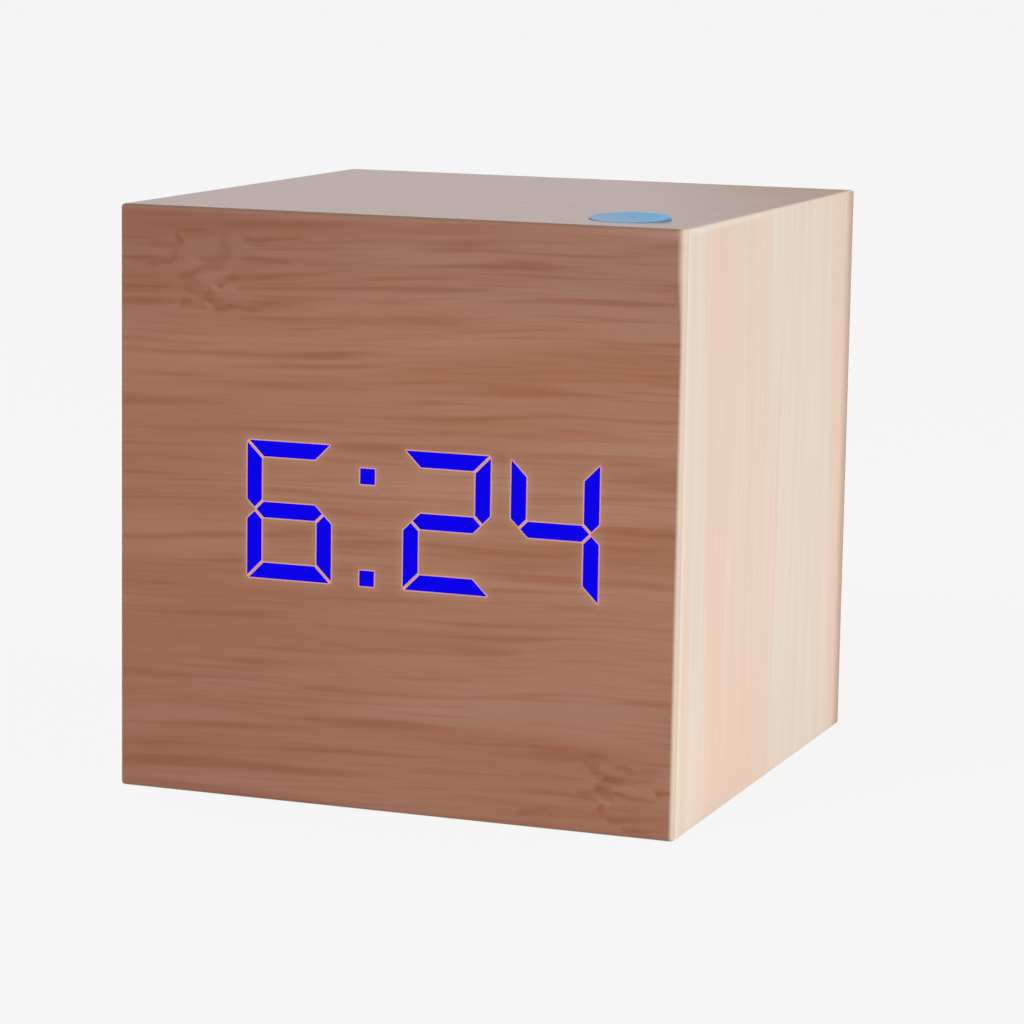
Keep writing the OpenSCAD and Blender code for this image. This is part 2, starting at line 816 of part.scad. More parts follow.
module buzzer() {
    mouth_d = 0.2 * buzzer_d;
    mouth_depth = 0.3 * buzzer_h;
    color(moulded_black)
        difference() {
            bar_y(buzzer_place[0], buzzer_place[1], buzzer_d, pcb_back_y, pcb_back_y + buzzer_h);
            bar_y(buzzer_place[0], buzzer_place[1], mouth_d,
                  pcb_back_y + buzzer_h - mouth_depth, pcb_back_y + buzzer_h + over);
        }
}

module capacitor() {
    r = capacitor_d / 2;
    bead = 0.08 * capacitor_d;
    color([0.15, 0.2, 0.35])
        translate([capacitor_place[0], pcb_back_y, capacitor_place[1]])
            rotate([-90, 0, 0])
                rotate_extrude()
                    polygon([
                        [0, 0], [r, 0], [r, 2 * bead], [r - bead, 3 * bead], [r, 4 * bead],
                        [r, capacitor_h - bead], [r - bead, capacitor_h], [0, capacitor_h]
                    ]);
}

module segment_resistors() {
    color(moulded_black)
        for (i = [-3:3])
            translate([resistor_place[0] + i * resistor_pitch - resistor_size[1] / 2, pcb_back_y,
                       resistor_place[1] - resistor_size[0] / 2])
                cube([resistor_size[1], resistor_size[2], resistor_size[0]]);
}

module rear_cover() {
    color(moulded_black)
        difference() {
            union() {
                slab(cover_back_y, cover_face_y)
                    translate([0, case_h / 2])
                        round_rect(cover_w, cover_h, cover_corner_r);
                box([-tray_l / 2 - tray_t, tray_back_y, tray_low - tray_t],
                    [tray_l / 2 + tray_t, cover_back_y, tray_high + tray_t]);
                for (x = [-1, 1])
                    bar_y(x * control_boss_x, upper_z, boss_d, small_pcb_y, cover_back_y);
                for (x = [-inlet_boss_x, mic_boss_x])
                    bar_y(x, lower_z, boss_d, small_pcb_y, cover_back_y);
            }
            difference() {
                box([-tray_l / 2, tray_floor_y, tray_low], [tray_l / 2, cover_face_y + over, tray_high]);
                cradle_ribs();
            }
            door_seat();
            cover_holes();
            tag_slots();
        }
}

// Ribs across the tray floor, hollowed to carry the cells
module cradle_ribs() {
    for (x = [-1, 0, 1])
        difference() {
            box([x * rib_x - rib_t / 2, tray_floor_y - over, tray_low - over],
                [x * rib_x + rib_t / 2, tray_floor_y + cradle_h, tray_high + over]);
            for (row = cell_rows)
                translate([-tray_l, cell_y, row[0]])
                    rotate([0, 90, 0])
                        cylinder(r = cell_d / 2 + cradle_fit, h = 2 * tray_l);
        }
}

// The sunk edge that the door lies in, and the windows for its hooks and latch
module door_seat() {
    box([-door_w / 2 - door_fit, door_back_y, door_low - door_fit],
        [door_w / 2 + door_fit, cover_face_y + over, door_high + door_fit]);
    window_w = hook_w + 2 * hook_room;
    window_y = cover_face_y - hook_swing - hook_room;
    for (x = [-1, 1])
        box([x * hook_x - window_w / 2, window_y, tray_low - tray_t - over],
            [x * hook_x + window_w / 2, cover_back_y, tray_low + over]);
    box([-latch_w / 2 - latch_side, cover_face_y - latch_bend_depth - latch_r, tray_high - over],
        [latch_w / 2 + latch_side, cover_back_y, tray_high + tray_t + over]);
}

// Holes for the screws, keys, lever, inlet, sound and microphone
module cover_holes() {
    cone_h = (screw_head_d - screw_d) / 2;
    for (x = [-1, 1], z = block_z) {
        bar_y(x * block_x, z, screw_d + 2 * screw_fit, cover_back_y - over, cover_face_y + over);
        translate([x * block_x, cover_face_y - cone_h, z])
            rotate([-90, 0, 0])
                cylinder(r1 = screw_d / 2 + screw_fit, r2 = screw_head_d / 2 + screw_fit, h = cone_h);
    }
    for (x = key_xs)
        bar_y(x, upper_z, rear_key_d + 2 * rear_key_fit, cover_back_y - over, cover_face_y + over);
    lever_half = lever_s / 2 + lever_fit;
    box([lever_x - lever_half, cover_back_y - over, upper_z - lever_half],
        [lever_x + lever_travel + lever_half, cover_face_y + over, upper_z + lever_half]);
    translate([0, 0, lower_z])
        slab(cover_back_y - over, cover_face_y + over)
            inlet_outline(inlet_fit);
    for (i = [-1:1], j = [-0.5, 0.5])
        bar_y(sound_holes_x + i * sound_hole_pitch, lower_z + j * sound_hole_pitch, sound_hole_d,
              cover_back_y - over, cover_face_y + over);
    bar_y(mic_x, lower_z, mic_hole_d, cover_back_y - over, cover_face_y + over);
    boss_hole_y = cover_back_y - boss_floor;
    for (x = [-1, 1])
        bar_y(x * control_boss_x, upper_z, small_screw_d + 2 * screw_fit, small_pcb_y - over, boss_hole_y);
    for (x = [-inlet_boss_x, mic_boss_x])
        bar_y(x, lower_z, small_screw_d + 2 * screw_fit, small_pcb_y - over, boss_hole_y);
}

// Slits in the tray floor for the solder tags of the end contacts
module tag_slots() {
    for (end = [[-1, cell_rows[0][0]], [1, cell_rows[2][0]]]) {
        x = end[0] * tray_l / 2;
        inner = x - end[0] * (contact_t + tag_fit);
        box([min(x, inner), tray_back_y - over, end[1] - tag_w / 2 - tag_fit],
            [max(x, inner), tray_floor_y + over, end[1] + tag_w / 2 + tag_fit]);
    }
}

module cover_screws() {
    cone_h = (screw_head_d - screw_d) / 2;
    color(metal)
        for (x = [-1, 1], z = block_z)
            translate([x * block_x, cover_face_y, z])
                difference() {
                    union() {
                        bar_y(0, 0, screw_d, -cover_screw_l, 0);
                        translate([0, -cone_h, 0])
                            rotate([-90, 0, 0])
                                cylinder(d1 = screw_d, d2 = screw_head_d, h = cone_h);
                    }
                    cross_recess(screw_head_d, -0.6 * cone_h, over);
                }
}

module battery_door() {
    rib_low = tray_low + rib_end;
    rib_high = tray_high - rib_end;
    color(moulded_black) {
        difference() {
            slab(door_back_y, cover_face_y)
                translate([0, (door_low + door_high) / 2])
                    round_rect(door_w, door_high - door_low, door_corner_r);
            box([-latch_w / 2 - latch_side, door_back_y - over, door_high - latch_notch],
                [latch_w / 2 + latch_side, cover_face_y + over, door_high + over]);
        }
        for (x = [-1, 1]) {
            box([x * rib_x - rib_t / 2, cell_y + cell_d / 2 + rib_gap, rib_low],
                [x * rib_x + rib_t / 2, door_back_y, rib_high]);
            door_hook(x * hook_x);
        }
    }
}

// An L-shaped hook that reaches through the tray wall and behind the cover
module door_hook(x) {
    translate([x - hook_w / 2, 0, 0])
        rotate([90, 0, 90])
            linear_extrude(hook_w)
                polygon([
                    [door_back_y, hook_root_z], [door_back_y, hook_root_z + hook_t],
                    [hook_back_y, hook_root_z + hook_t], [hook_back_y, hook_tip_z],
                    [hook_y, hook_tip_z], [hook_y, hook_root_z]
                ]);
}

// The springy tongue at the door's upper edge, whose nose catches behind the cover
module door_latch() {
    root_z = door_high - latch_notch;
    bend_z = root_z + latch_r;
    leg_z = bend_z + latch_r;
    bend_y = cover_face_y - latch_bend_depth;
    nose_y = cover_back_y - hook_fit;
    nose_w = 0.5;
    nose_slope = 0.6;
    color(moulded_black)
        translate([-latch_w / 2, 0, 0])
            rotate([90, 0, 90])
                linear_extrude(latch_w) {
                    difference() {
                        translate([bend_y, bend_z])
                            circle(latch_r);
                        translate([bend_y, bend_z])
                            circle(latch_r - latch_t);
                        translate([bend_y, root_z - over])
                            square([latch_r + over, 2 * latch_r + 2 * over]);
                    }
                    translate([bend_y, root_z])
                        square([latch_bend_depth - latch_gap, latch_t]);
                    translate([bend_y, leg_z - latch_t])
                        square([latch_bend_depth - latch_gap, latch_t]);
                    polygon([
                        [nose_y, leg_z - latch_t / 2], [nose_y, tray_high + latch_catch],
                        [nose_y - nose_w, tray_high + latch_catch],
                        [nose_y - nose_w - nose_slope, leg_z - latch_t / 2]
                    ]);
                }
}

module battery_cells() {
    r = cell_d / 2;
    bevel = 0.5;
    color([0.2, 0.2, 0.23])
        for (row = cell_rows)
            translate([row[1] * (tray_l / 2 - contact_t), cell_y, row[0]])
                rotate([0, -90 * row[1], 0])
                    rotate_extrude()
                        polygon([
                            [0, 0], [nub_d / 2, 0], [nub_d / 2, nub_l], [r - bevel, nub_l],
                            [r, nub_l + bevel], [r, cell_l - bevel], [r - bevel, cell_l], [0, cell_l]
                        ]);
}

module contact_plates() {
    half = contact_s / 2;
    color(metal)
        for (plate = [[-1, 0, 0, true], [1, 0, 1, false], [-1, 1, 2, false], [1, 2, 2, true]]) {
            x = plate[0] * tray_l / 2;
            inner = x - plate[0] * contact_t;
            low_z = cell_rows[plate[1]][0];
            high_z = cell_rows[plate[2]][0];
            box([min(x, inner), cell_y - half, low_z - half], [max(x, inner), cell_y + half, high_z + half]);
            if (plate[3])
                box([min(x, inner), tag_end_y, low_z - tag_w / 2],
                    [max(x, inner), cell_y, low_z + tag_w / 2]);
        }
}

// A tube along points, with one direction beside each point to square its rings
module tube(points, beside, d, sides) {
    count = len(points);
    ahead = [for (i = [0:count - 1]) unit(points[min(i + 1, count - 1)] - points[max(i - 1, 0)])];
    across = [for (i = [0:count - 1]) unit(beside[i] - (beside[i] * ahead[i]) * ahead[i])];
    rings = [
        for (i = [0:count - 1], k = [0:sides - 1])
            points[i] + d / 2 * (cos(360 * k / sides) * across[i]
                                 + sin(360 * k / sides) * cross(ahead[i], across[i]))
    ];
    last = (count - 1) * sides;
    polyhedron(rings, [
        for (i = [0:count - 2], k = [0:sides - 1], half = [0, 1])
            let (a = i * sides + k,
                 b = i * sides + (k + 1) % sides)
            half == 0 ? [a, a + sides, b + sides] : [a, b + sides, b],
        for (k = [1:sides - 2]) [0, k, k + 1],
        for (k = [1:sides - 2]) [last, last + k + 1, last + k]
    ]);
}

function unit(v) = v / norm(v);

// A tapering contact spring along X, with a straight end on its plate and on its cell
spring_turns = 2;
spring_steps = 8 * spring_turns;
spring_angles = [0, for (k = [0:spring_steps]) 360 * spring_turns * k / spring_steps, 360 * spring_turns];
spring_places = [0, for (k = [0:spring_steps]) wire_d + (spring_l - 2 * wire_d) * k / spring_steps, spring_l];
spring_beside = [for (a = spring_angles) [0, cos(a), sin(a)]];
spring_points = [
    for (i = [0:spring_steps + 2])
        let (share = spring_angles[i] / (360 * spring_turns))
        [spring_places[i], 0, 0]
            + ((1 - share) * spring_wide_d / 2 + share * spring_narrow_d / 2) * spring_beside[i]
];
spring_gap = min([
    for (i = [0:spring_steps + 2], j = [0:spring_steps + 2])
        if (j > i + 4) norm(spring_points[j] - spring_points[i]) - wire_d
]);
echo(least_gap_between_spring_turns = spring_gap);

module contact_springs() {
    color(metal)
        for (row = cell_rows)
            translate([-row[1] * (tray_l / 2 - contact_t), cell_y, row[0]])
                rotate([0, 0, row[1] > 0 ? 0 : 180])
                    tube(spring_points, spring_beside, wire_d, 6);
}

module control_board() {
    color(board_green)
        difference() {
            box([-control_w / 2, small_pcb_y - pcb_t, upper_z - control_h / 2],
                [control_w / 2, small_pcb_y, upper_z + control_h / 2]);
            for (x = [-1, 1])
                bar_y(x * control_boss_x, upper_z, small_screw_d + 2 * screw_fit,
                      small_pcb_y - pcb_t - over, small_pcb_y + over);
        }
}

module key_switches() {
    color(metal)
        for (x = key_xs)
            translate([x, small_pcb_y + switch_h, upper_z])
                rotate([-90, 0, 0])
                    push_switch(rear_switch_s);
}

// A round key in the cover, with the flange that keeps it in
module rear_key(x) {
    bevel = 0.3;
    r = rear_key_d / 2;
    top = cover_t + rear_key_rise;
    color([0.16, 0.16, 0.17])
        translate([x, cover_back_y, upper_z])
            rotate([-90, 0, 0])
                rotate_extrude()
                    polygon([
                        [0, -key_flange_t], [r + key_lip, -key_flange_t], [r + key_lip, 0], [r, 0],
                        [r, top - bevel], [r - bevel, top], [0, top]
                    ]);
}

module set_key() {
    rear_key(key_xs[2]);
}

module up_key() {
    rear_key(key_xs[1]);
}

module down_key() {
    rear_key(key_xs[0]);
}

// The plunger between a rear key and its switch
module rear_plunger(x) {
    seat_y = small_pcb_y + switch_h;
    color([0.85, 0.85, 0.82])
        bar_y(x, upper_z, plunger_d, seat_y - plunger_root + key_travel, seat_y + plunger_l);
}

module set_plunger() {
    rear_plunger(key_xs[2]);
}

module up_plunger() {
    rear_plunger(key_xs[1]);
}

module down_plunger() {
    rear_plunger(key_xs[0]);
}

// The lever's foot runs in a slot of the switch's body
lever_foot = 1;
lever_floor = 0.3;

module sound_switch() {
    half = lever_s / 2 + lever_fit;
    top_y = small_pcb_y + slider_h;
    color(metal)
        difference() {
            box([slider_x - slider_l / 2, small_pcb_y, upper_z - slider_w / 2],
                [slider_x + slider_l / 2, top_y, upper_z + slider_w / 2]);
            box([lever_x - half, top_y - lever_foot - lever_floor, upper_z - half],
                [lever_x + lever_travel + half, top_y + over, upper_z + half]);
        }
}

module sound_lever() {
    foot_y = small_pcb_y + slider_h - lever_foot;
    color([0.85, 0.85, 0.82])
        box([lever_x - lever_s / 2, foot_y, upper_z - lever_s / 2],
            [lever_x + lever_s / 2, cover_face_y + lever_rise, upper_z + lever_s / 2]);
}

module inlet_board() {
    color(board_green)
        difference() {
            box([inlet_board_x[0], small_pcb_y - pcb_t, lower_z - inlet_board_h / 2],
                [inlet_board_x[1], small_pcb_y, lower_z + inlet_board_h / 2]);
            for (x = [-inlet_boss_x, mic_boss_x])
                bar_y(x, lower_z, small_screw_d + 2 * screw_fit,
                      small_pcb_y - pcb_t - over, small_pcb_y + over);
        }
}

// Outline of the inlet: flat above, with slanted lower corners, grown by fit
module inlet_outline(fit) {
    w = inlet_w / 2 + fit;
    h = inlet_h / 2 + fit;
    slant = 0.4 * inlet_h;
    polygon([[-w, h], [w, h], [w, -h + slant], [w - slant, -h], [slant - w, -h], [-w, -h + slant]]);
}

module inlet_shell() {
    color(metal)
        translate([0, 0, lower_z])
            difference() {
                slab(small_pcb_y, cover_face_y - inlet_depth)
                    inlet_outline(0);
                slab(small_pcb_y + inlet_wall, cover_face_y)
                    inlet_outline(-inlet_wall);
            }
}

module inlet_tongue() {
    tongue_side = 0.8;
    tongue_top = 0.3;
    tongue_w = inlet_w - 2 * (inlet_wall + tongue_side);
    tongue_z = lower_z + inlet_h / 2 - inlet_wall - tongue_t - tongue_top;
    color(moulded_black)
        box([-tongue_w / 2, small_pcb_y + inlet_wall, tongue_z],
            [tongue_w / 2, small_pcb_y + inlet_wall + tongue_l, tongue_z + tongue_t]);
}

module microphone() {
    port_d = 0.35 * mic_d;
    port_depth = 0.5;
    color(metal)
        difference() {
            bar_y(mic_x, lower_z, mic_d, small_pcb_y, small_pcb_y + mic_h);
            bar_y(mic_x, lower_z, port_d, small_pcb_y + mic_h - port_depth, small_pcb_y + mic_h + over);
        }
}

module small_screws() {
    seat_y = small_pcb_y - pcb_t;
    tip_y = cover_back_y - boss_floor - pilot_room - seat_y;
    head_t = 0.9;
    color(metal)
        for (place = [[-control_boss_x, upper_z], [control_boss_x, upper_z],
                      [-inlet_boss_x, lower_z], [mic_boss_x, lower_z]])
            translate([place[0], seat_y, place[1]])
                pan_screw(small_screw_d, 2 * small_screw_d, head_t, tip_y);
}

// Points of a hanging cable in Y and Z, level at both ends
function hang(y0, z0, y1, z1, sag) = [
    for (i = [0:cable_steps])
        let (share = i / cable_steps,
             ease = share * share * (3 - 2 * share),
             dip = pow(sin(180 * share), 2))
        [y0 + (y1 - y0) * share, z0 + (z1 - z0) * ease - sag * dip]
];

module battery_lead(x, z) {
    hung = hang(tag_end_y - lead_d, z, pcb_back_y + lead_d, z, lead_sag);
    path = [[x, tag_end_y, z], for (p = hung) [x, p[0], p[1]], [x, pcb_back_y, z]];
    tube(path, [for (p = path) [1, 0, 0]], lead_d, 8);
}

module positive_lead() {
    color([0.75, 0.08, 0.06])
        battery_lead(tray_l / 2 - lead_d / 2, cell_rows[2][0]);
}

module negative_lead() {
    color(moulded_black)
        battery_lead(-tray_l / 2 + lead_d / 2, cell_rows[0][0]);
}

// A flat cable between a small board and the display board
module ribbon(x, w, z0, z1) {
    path = hang(small_pcb_y - pcb_t, z0, pcb_back_y, z1, ribbon_sag);
    count = len(path);
    beside = [
        for (i = [0:count - 1])
            let (ahead = i == 0 || i == count - 1 ? [-1, 0] : unit(path[i + 1] - path[i - 1]))
            [-ahead[1], ahead[0]]
    ];
    color([0.75, 0.75, 0.72])
        translate([x - w / 2, 0, 0])
            rotate([90, 0, 90])
                linear_extrude(w)
                    polygon([
                        for (i = [0:count - 1]) path[i] + ribbon_t / 2 * beside[i],
                        for (i = [count - 1:-1:0]) path[i] - ribbon_t / 2 * beside[i]
                    ]);
}

module control_ribbon() {
    ribbon(0, control_ribbon_w, upper_z, control_ribbon_z);
}

module inlet_ribbon() {
    ribbon(0, inlet_ribbon_w, lower_z, inlet_ribbon_z);
}

front_veneer();
lit_segments();
front_board();
top_board();
bottom_board();
left_board();
right_board();
corner_blocks();
snooze_key();
snooze_plunger();
snooze_switch();
segment_mask();
segment_lenses();
segment_leds();
display_board();
board_spacers();
board_screws();
controller_chip();
crystal();
buzzer();
capacitor();
segment_resistors();
rear_cover();
cover_screws();
battery_door();
door_latch();
battery_cells();
contact_plates();
contact_springs();
control_board();
key_switches();
set_key();
up_key();
down_key();
set_plunger();
up_plunger();
down_plunger();
sound_switch();
sound_lever();
inlet_board();
inlet_shell();
inlet_tongue();
microphone();
small_screws();
positive_lead();
negative_lead();
control_ribbon();
inlet_ribbon();
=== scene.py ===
import math

import bmesh
import bpy
import numpy as np
from bpy.props import FloatProperty, FloatVectorProperty, IntProperty, PointerProperty
from bpy.types import Operator, Panel, PropertyGroup
from mathutils import Matrix, Vector
from mathutils.geometry import delaunay_2d_cdt


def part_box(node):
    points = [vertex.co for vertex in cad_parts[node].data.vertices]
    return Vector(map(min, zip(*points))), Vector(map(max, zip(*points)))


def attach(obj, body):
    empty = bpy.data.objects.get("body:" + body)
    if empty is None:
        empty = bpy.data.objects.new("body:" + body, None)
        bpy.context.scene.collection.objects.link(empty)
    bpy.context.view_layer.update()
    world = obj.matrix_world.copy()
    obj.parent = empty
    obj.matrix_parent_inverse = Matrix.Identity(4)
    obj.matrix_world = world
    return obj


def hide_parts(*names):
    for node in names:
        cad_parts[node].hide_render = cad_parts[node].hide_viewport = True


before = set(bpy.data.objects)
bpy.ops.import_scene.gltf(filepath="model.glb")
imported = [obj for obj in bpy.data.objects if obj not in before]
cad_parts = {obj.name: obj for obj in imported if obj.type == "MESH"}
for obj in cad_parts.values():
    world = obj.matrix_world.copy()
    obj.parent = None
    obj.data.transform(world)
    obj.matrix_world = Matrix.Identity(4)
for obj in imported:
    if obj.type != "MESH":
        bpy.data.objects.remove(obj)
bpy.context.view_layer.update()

bl_info = {
    "name": "Bamboo cube clock",
    "version": (1, 0, 0),
    "blender": (4, 5, 0),
    "location": "View3D > Sidebar > Clock",
    "description": "Dresses the packed cube alarm clock in bamboo, light, mouldings and metal",
    "category": "Object",
}

MM = 0.001
QUARTER = math.pi / 2


# Settings

def shade(red, green, blue):
    """A colour written as 0 to 255 in sRGB, as linear values."""
    return tuple(
        c / 12.92 if c <= 0.04045 else ((c + 0.055) / 1.055) ** 2.4
        for c in (red / 255, green / 255, blue / 255)
    )


def colour(name, about, value):
    return FloatVectorProperty(
        name=name, description=about, subtype="COLOR", size=3, min=0, max=1, default=value)


def length(name, about, millimetres):
    return FloatProperty(
        name=name, description=about, unit="LENGTH", min=0, precision=5, default=millimetres * MM)


def share(name, about, value):
    return FloatProperty(name=name, description=about, subtype="FACTOR", min=0, max=1, default=value)


def power(name, about, watts):
    return FloatProperty(name=name, description=about, unit="POWER", min=0, default=watts)


class BambooSettings(PropertyGroup):
    """Brown and pale bamboo of the case."""
    ground: colour("Ground", "Lighter ground of the brown bamboo", shade(152, 108, 85))
    shadow: colour("Shadow", "Darker ground of the brown bamboo", shade(146, 95, 69))
    streak: colour("Streak", "Streaks in the brown bamboo", shade(132, 71, 39))
    glint: colour("Glint", "Pale wood inside a joint of the cane", shade(160, 122, 101))
    # Painted sheen: this grey brown stands in for the reflection on the top
    top_sheen: colour("Haze", "Grey brown of the top", shade(122, 93, 84))
    # Painted shade on the eased upper edge of the front
    edge: colour("Edge", "Dark lacquer on the eased upper edge of the front", shade(120, 84, 64))
    # Painted highlight just below the upper edge of the front
    front_highlight: colour("Bloom", "Paler lacquer just below the upper edge of the front", shade(178, 148, 130))
    cream: colour("Cream", "Cream strips of the pale sides", shade(232, 215, 196))
    blush: colour("Blush", "Rosy strips of the pale sides", shade(233, 204, 181))
    # Browner rear edges of the pale sides
    rear_brown: colour("Rub", "Brown of the rear edges of the pale sides", shade(178, 134, 108))
    # Painted highlight on the front and upper edges of the pale sides
    bare: colour("Bare", "Bare pale wood on a front edge", shade(238, 226, 214))
    streak_length: length("Streak length", "Length of a streak along the grain", 20.0)
    streak_width: length("Streak width", "Width of a streak across the grain", 0.85)
    lacquer: share("Lacquer", "Roughness of the satin lacquer", 0.34)


class GlowSettings(PropertyGroup):
    """Light that comes through the front."""
    light: colour("Light", "Light of the lit segments", shade(13, 4, 236))
    dusk: colour("Dusk", "Light where a fibre dims it", shade(10, 3, 224))
    rim: colour("Rim", "Lit edge of the veneer round a segment", shade(212, 150, 122))
    halo: colour("Halo", "Faint halo on the wood round a segment", shade(178, 134, 110))
    rim_width: length("Rim width", "Width of the lit edge", 0.16)
    halo_width: length("Halo width", "Reach of the faint halo", 1.1)


class MouldingSettings(PropertyGroup):
    """Keys, cover, door and their grips."""
    top_key: colour("Top key", "Colour of the top key", shade(64, 150, 198))
    # Painted sheen: paler blue to the front and the left of the top key
    key_sheen: colour("Touched", "Paler blue where fingers press the top key", shade(100, 143, 180))
    cover: colour("Cover", "Colour of the rear cover and door", shade(36, 36, 39))
    rear_key: colour("Rear key", "Colour of the rear keys", shade(86, 87, 91))
    grain: length("Grain", "Size of the moulded surface's grain", 0.35)
    ridge: length("Ridge", "Radius of a grip ridge on the door", 0.35)
    ridge_step: length("Ridge step", "Step between the grip ridges on the door", 1.5)
    ridges: IntProperty(name="Ridges", description="Grip ridges on the door", min=1, default=5)


class StageSettings(PropertyGroup):
    """Camera, light and floor."""
    eye: FloatVectorProperty(
        name="Eye", description="Place of the camera", subtype="TRANSLATION", unit="LENGTH",
        default=(0.13853, -0.37021, 0.08988))
    aim: FloatVectorProperty(
        name="Aim", description="Turn of the camera", subtype="EULER", unit="ROTATION",
        default=tuple(math.radians(a) for a in (80.8625, -0.9283, 20.4601)))
    lens: FloatProperty(name="Lens", description="Focal length, in millimetres", min=1, default=131.74)
    paper: colour("Paper", "White of the floor and the backdrop", shade(247, 247, 247))
    sky: share("Sky", "Level of the light from all round", 0.62)
    lamp: power("Lamp", "Power of the front lamp", 5.0)
    fill: power("Fill", "Power of the side lamp", 3.0)


# Nodes

SOCKET_KINDS = {tuple: "Vector", float: "Float", int: "Int", type(None): "Material"}
OUTPUT_KINDS = {"ShaderNodeTree": "Float", "GeometryNodeTree": "Geometry"}
ORIGIN = (0.0, 0.0, 0.0)


class Nodes:
    """Adds nodes to one tree. A value is a number, a vector, a colour or another node's socket."""

    def __init__(self, tree):
        self.tree = tree

    def put(self, socket, value):
        if isinstance(value, bpy.types.NodeSocket):
            self.tree.links.new(value, socket)
        elif socket.type == "RGBA" and len(value) == 3:
            socket.default_value = (*value, 1)
        else:
            socket.default_value = value

    def fill(self, sockets, values):
        """Puts values into the sockets of those names or places."""
        for key, value in values.items():
            self.put(sockets[key], value)

    def add(self, kind, inputs=None, **settings):
        node = self.tree.nodes.new(kind)
        for key, value in settings.items():
            setattr(node, key, value)
        self.fill(node.inputs, inputs or {})
        return node

    def result(self, kind, inputs=None, **settings):
        """The first output of a new node."""
        return self.add(kind, inputs, **settings).outputs[0]

    def math(self, operation, *values):
        return self.result("ShaderNodeMath", dict(enumerate(values)), operation=operation)

    def times(self, first, second):
        return self.math("MULTIPLY", first, second)

    def vector(self, operation, *values):
        return self.result("ShaderNodeVectorMath", dict(enumerate(values)), operation=operation)

    def stretched(self, vector, amount):
        return self.result("ShaderNodeVectorMath", {0: vector, "Scale": amount}, operation="SCALE")

    def dot(self, first, second):
        node = self.add("ShaderNodeVectorMath", {0: first, 1: second}, operation="DOT_PRODUCT")
        return node.outputs["Value"]

    def split(self, vector):
        return self.add("ShaderNodeSeparateXYZ", {"Vector": vector}).outputs

    def join(self, x, y, z):
        return self.result("ShaderNodeCombineXYZ", {"X": x, "Y": y, "Z": z})

    def noise(self, vector, pitch=1.0, detail=2.0, roughness=0.5, output=0):
        inputs = {"Vector": vector, "Scale": pitch, "Detail": detail, "Roughness": roughness}
        return self.add("ShaderNodeTexNoise", inputs).outputs[output]

    def remap(self, value, low, high, to_low=0.0, to_high=1.0, kind="SMOOTHSTEP"):
        inputs = dict(enumerate((value, low, high, to_low, to_high)))
        return self.result("ShaderNodeMapRange", inputs, interpolation_type=kind)

    def vary(self, part, low, high):
        """A value that goes from low to high while a part goes from 0 to 1."""
        return self.remap(part, 0.0, 1.0, low, high)

    def mix(self, factor, first, second, blend="MIX"):
        inputs = {0: factor, 6: first, 7: second}
        return self.add("ShaderNodeMix", inputs, data_type="RGBA", blend_type=blend).outputs[2]

    def level(self, tint, amount):
        """A tint times an amount that varies about 1."""
        return self.mix(1.0, tint, self.join(amount, amount, amount), "MULTIPLY")

    def ramp(self, value, stops):
        node = self.add("ShaderNodeValToRGB", {"Fac": value})
        points = node.color_ramp.elements
        while len(points) < len(stops):
            points.new(1.0)
        for point, (place, tint) in zip(points, stops):
            point.position = place
            point.color = (*tint, 1)
        return node.outputs[0]

    def place_mm(self):
        """The piece's own place, in millimetres."""
        return self.stretched(self.add("ShaderNodeTexCoord").outputs["Object"], 1 / MM)

    def stored(self, name):
        """A value that the piece's mesh holds."""
        return self.add("ShaderNodeAttribute", attribute_name=name).outputs["Fac"]

    def group(self, name, inputs):
        """The outputs of a shared group."""
        return self.add("ShaderNodeGroup", inputs, node_tree=shared_tree(name)).outputs


def shared_tree(name):
    """The node group of that name, made when it is first asked for."""
    return bpy.data.node_groups.get(name) or TREES[name]()


def new_group(name, kind, inputs, outputs):
    """A node group with named sockets. Returns its tree, its nodes, its inputs and its outputs."""
    tree = bpy.data.node_groups.new(name, kind)
    for label, default in inputs.items():
        socket = tree.interface.new_socket(
            name=label, in_out="INPUT", socket_type="NodeSocket" + SOCKET_KINDS[type(default)])
        if default is not None:
            socket.default_value = default
    for label in outputs:
        tree.interface.new_socket(
            name=label, in_out="OUTPUT", socket_type="NodeSocket" + OUTPUT_KINDS[kind])
    nodes = Nodes(tree)
    return tree, nodes, nodes.add("NodeGroupInput").outputs, nodes.add("NodeGroupOutput").inputs


# Mean level of a noise. A span below holds the levels of a noise that become 0 and 1.
NOISE_MEAN = 0.5
# The grain: pitch of its wave to the millimetre and its lift, then its bands, streaks, fine streaks and
# fibres, with their pitch to the streak. A pitch is given along, across and into the wood.
WAVE_PITCH, WAVE_LIFT = (0.035, 0.1, 0.1), 1.4
BAND_PITCH, BAND_SPAN = (0.4, 0.22, 0.22), (0.3, 0.7)
STREAK_SPAN = (0.47, 0.76)
FINE_PITCH, FINE_SPAN, FINE_DEPTH = (1.5, 2.1, 2.1), (0.5, 0.78), 0.6
FIBRE_PITCH, FIBRE_SPAN = (2.5, 5.0, 5.0), (0.25, 0.75)


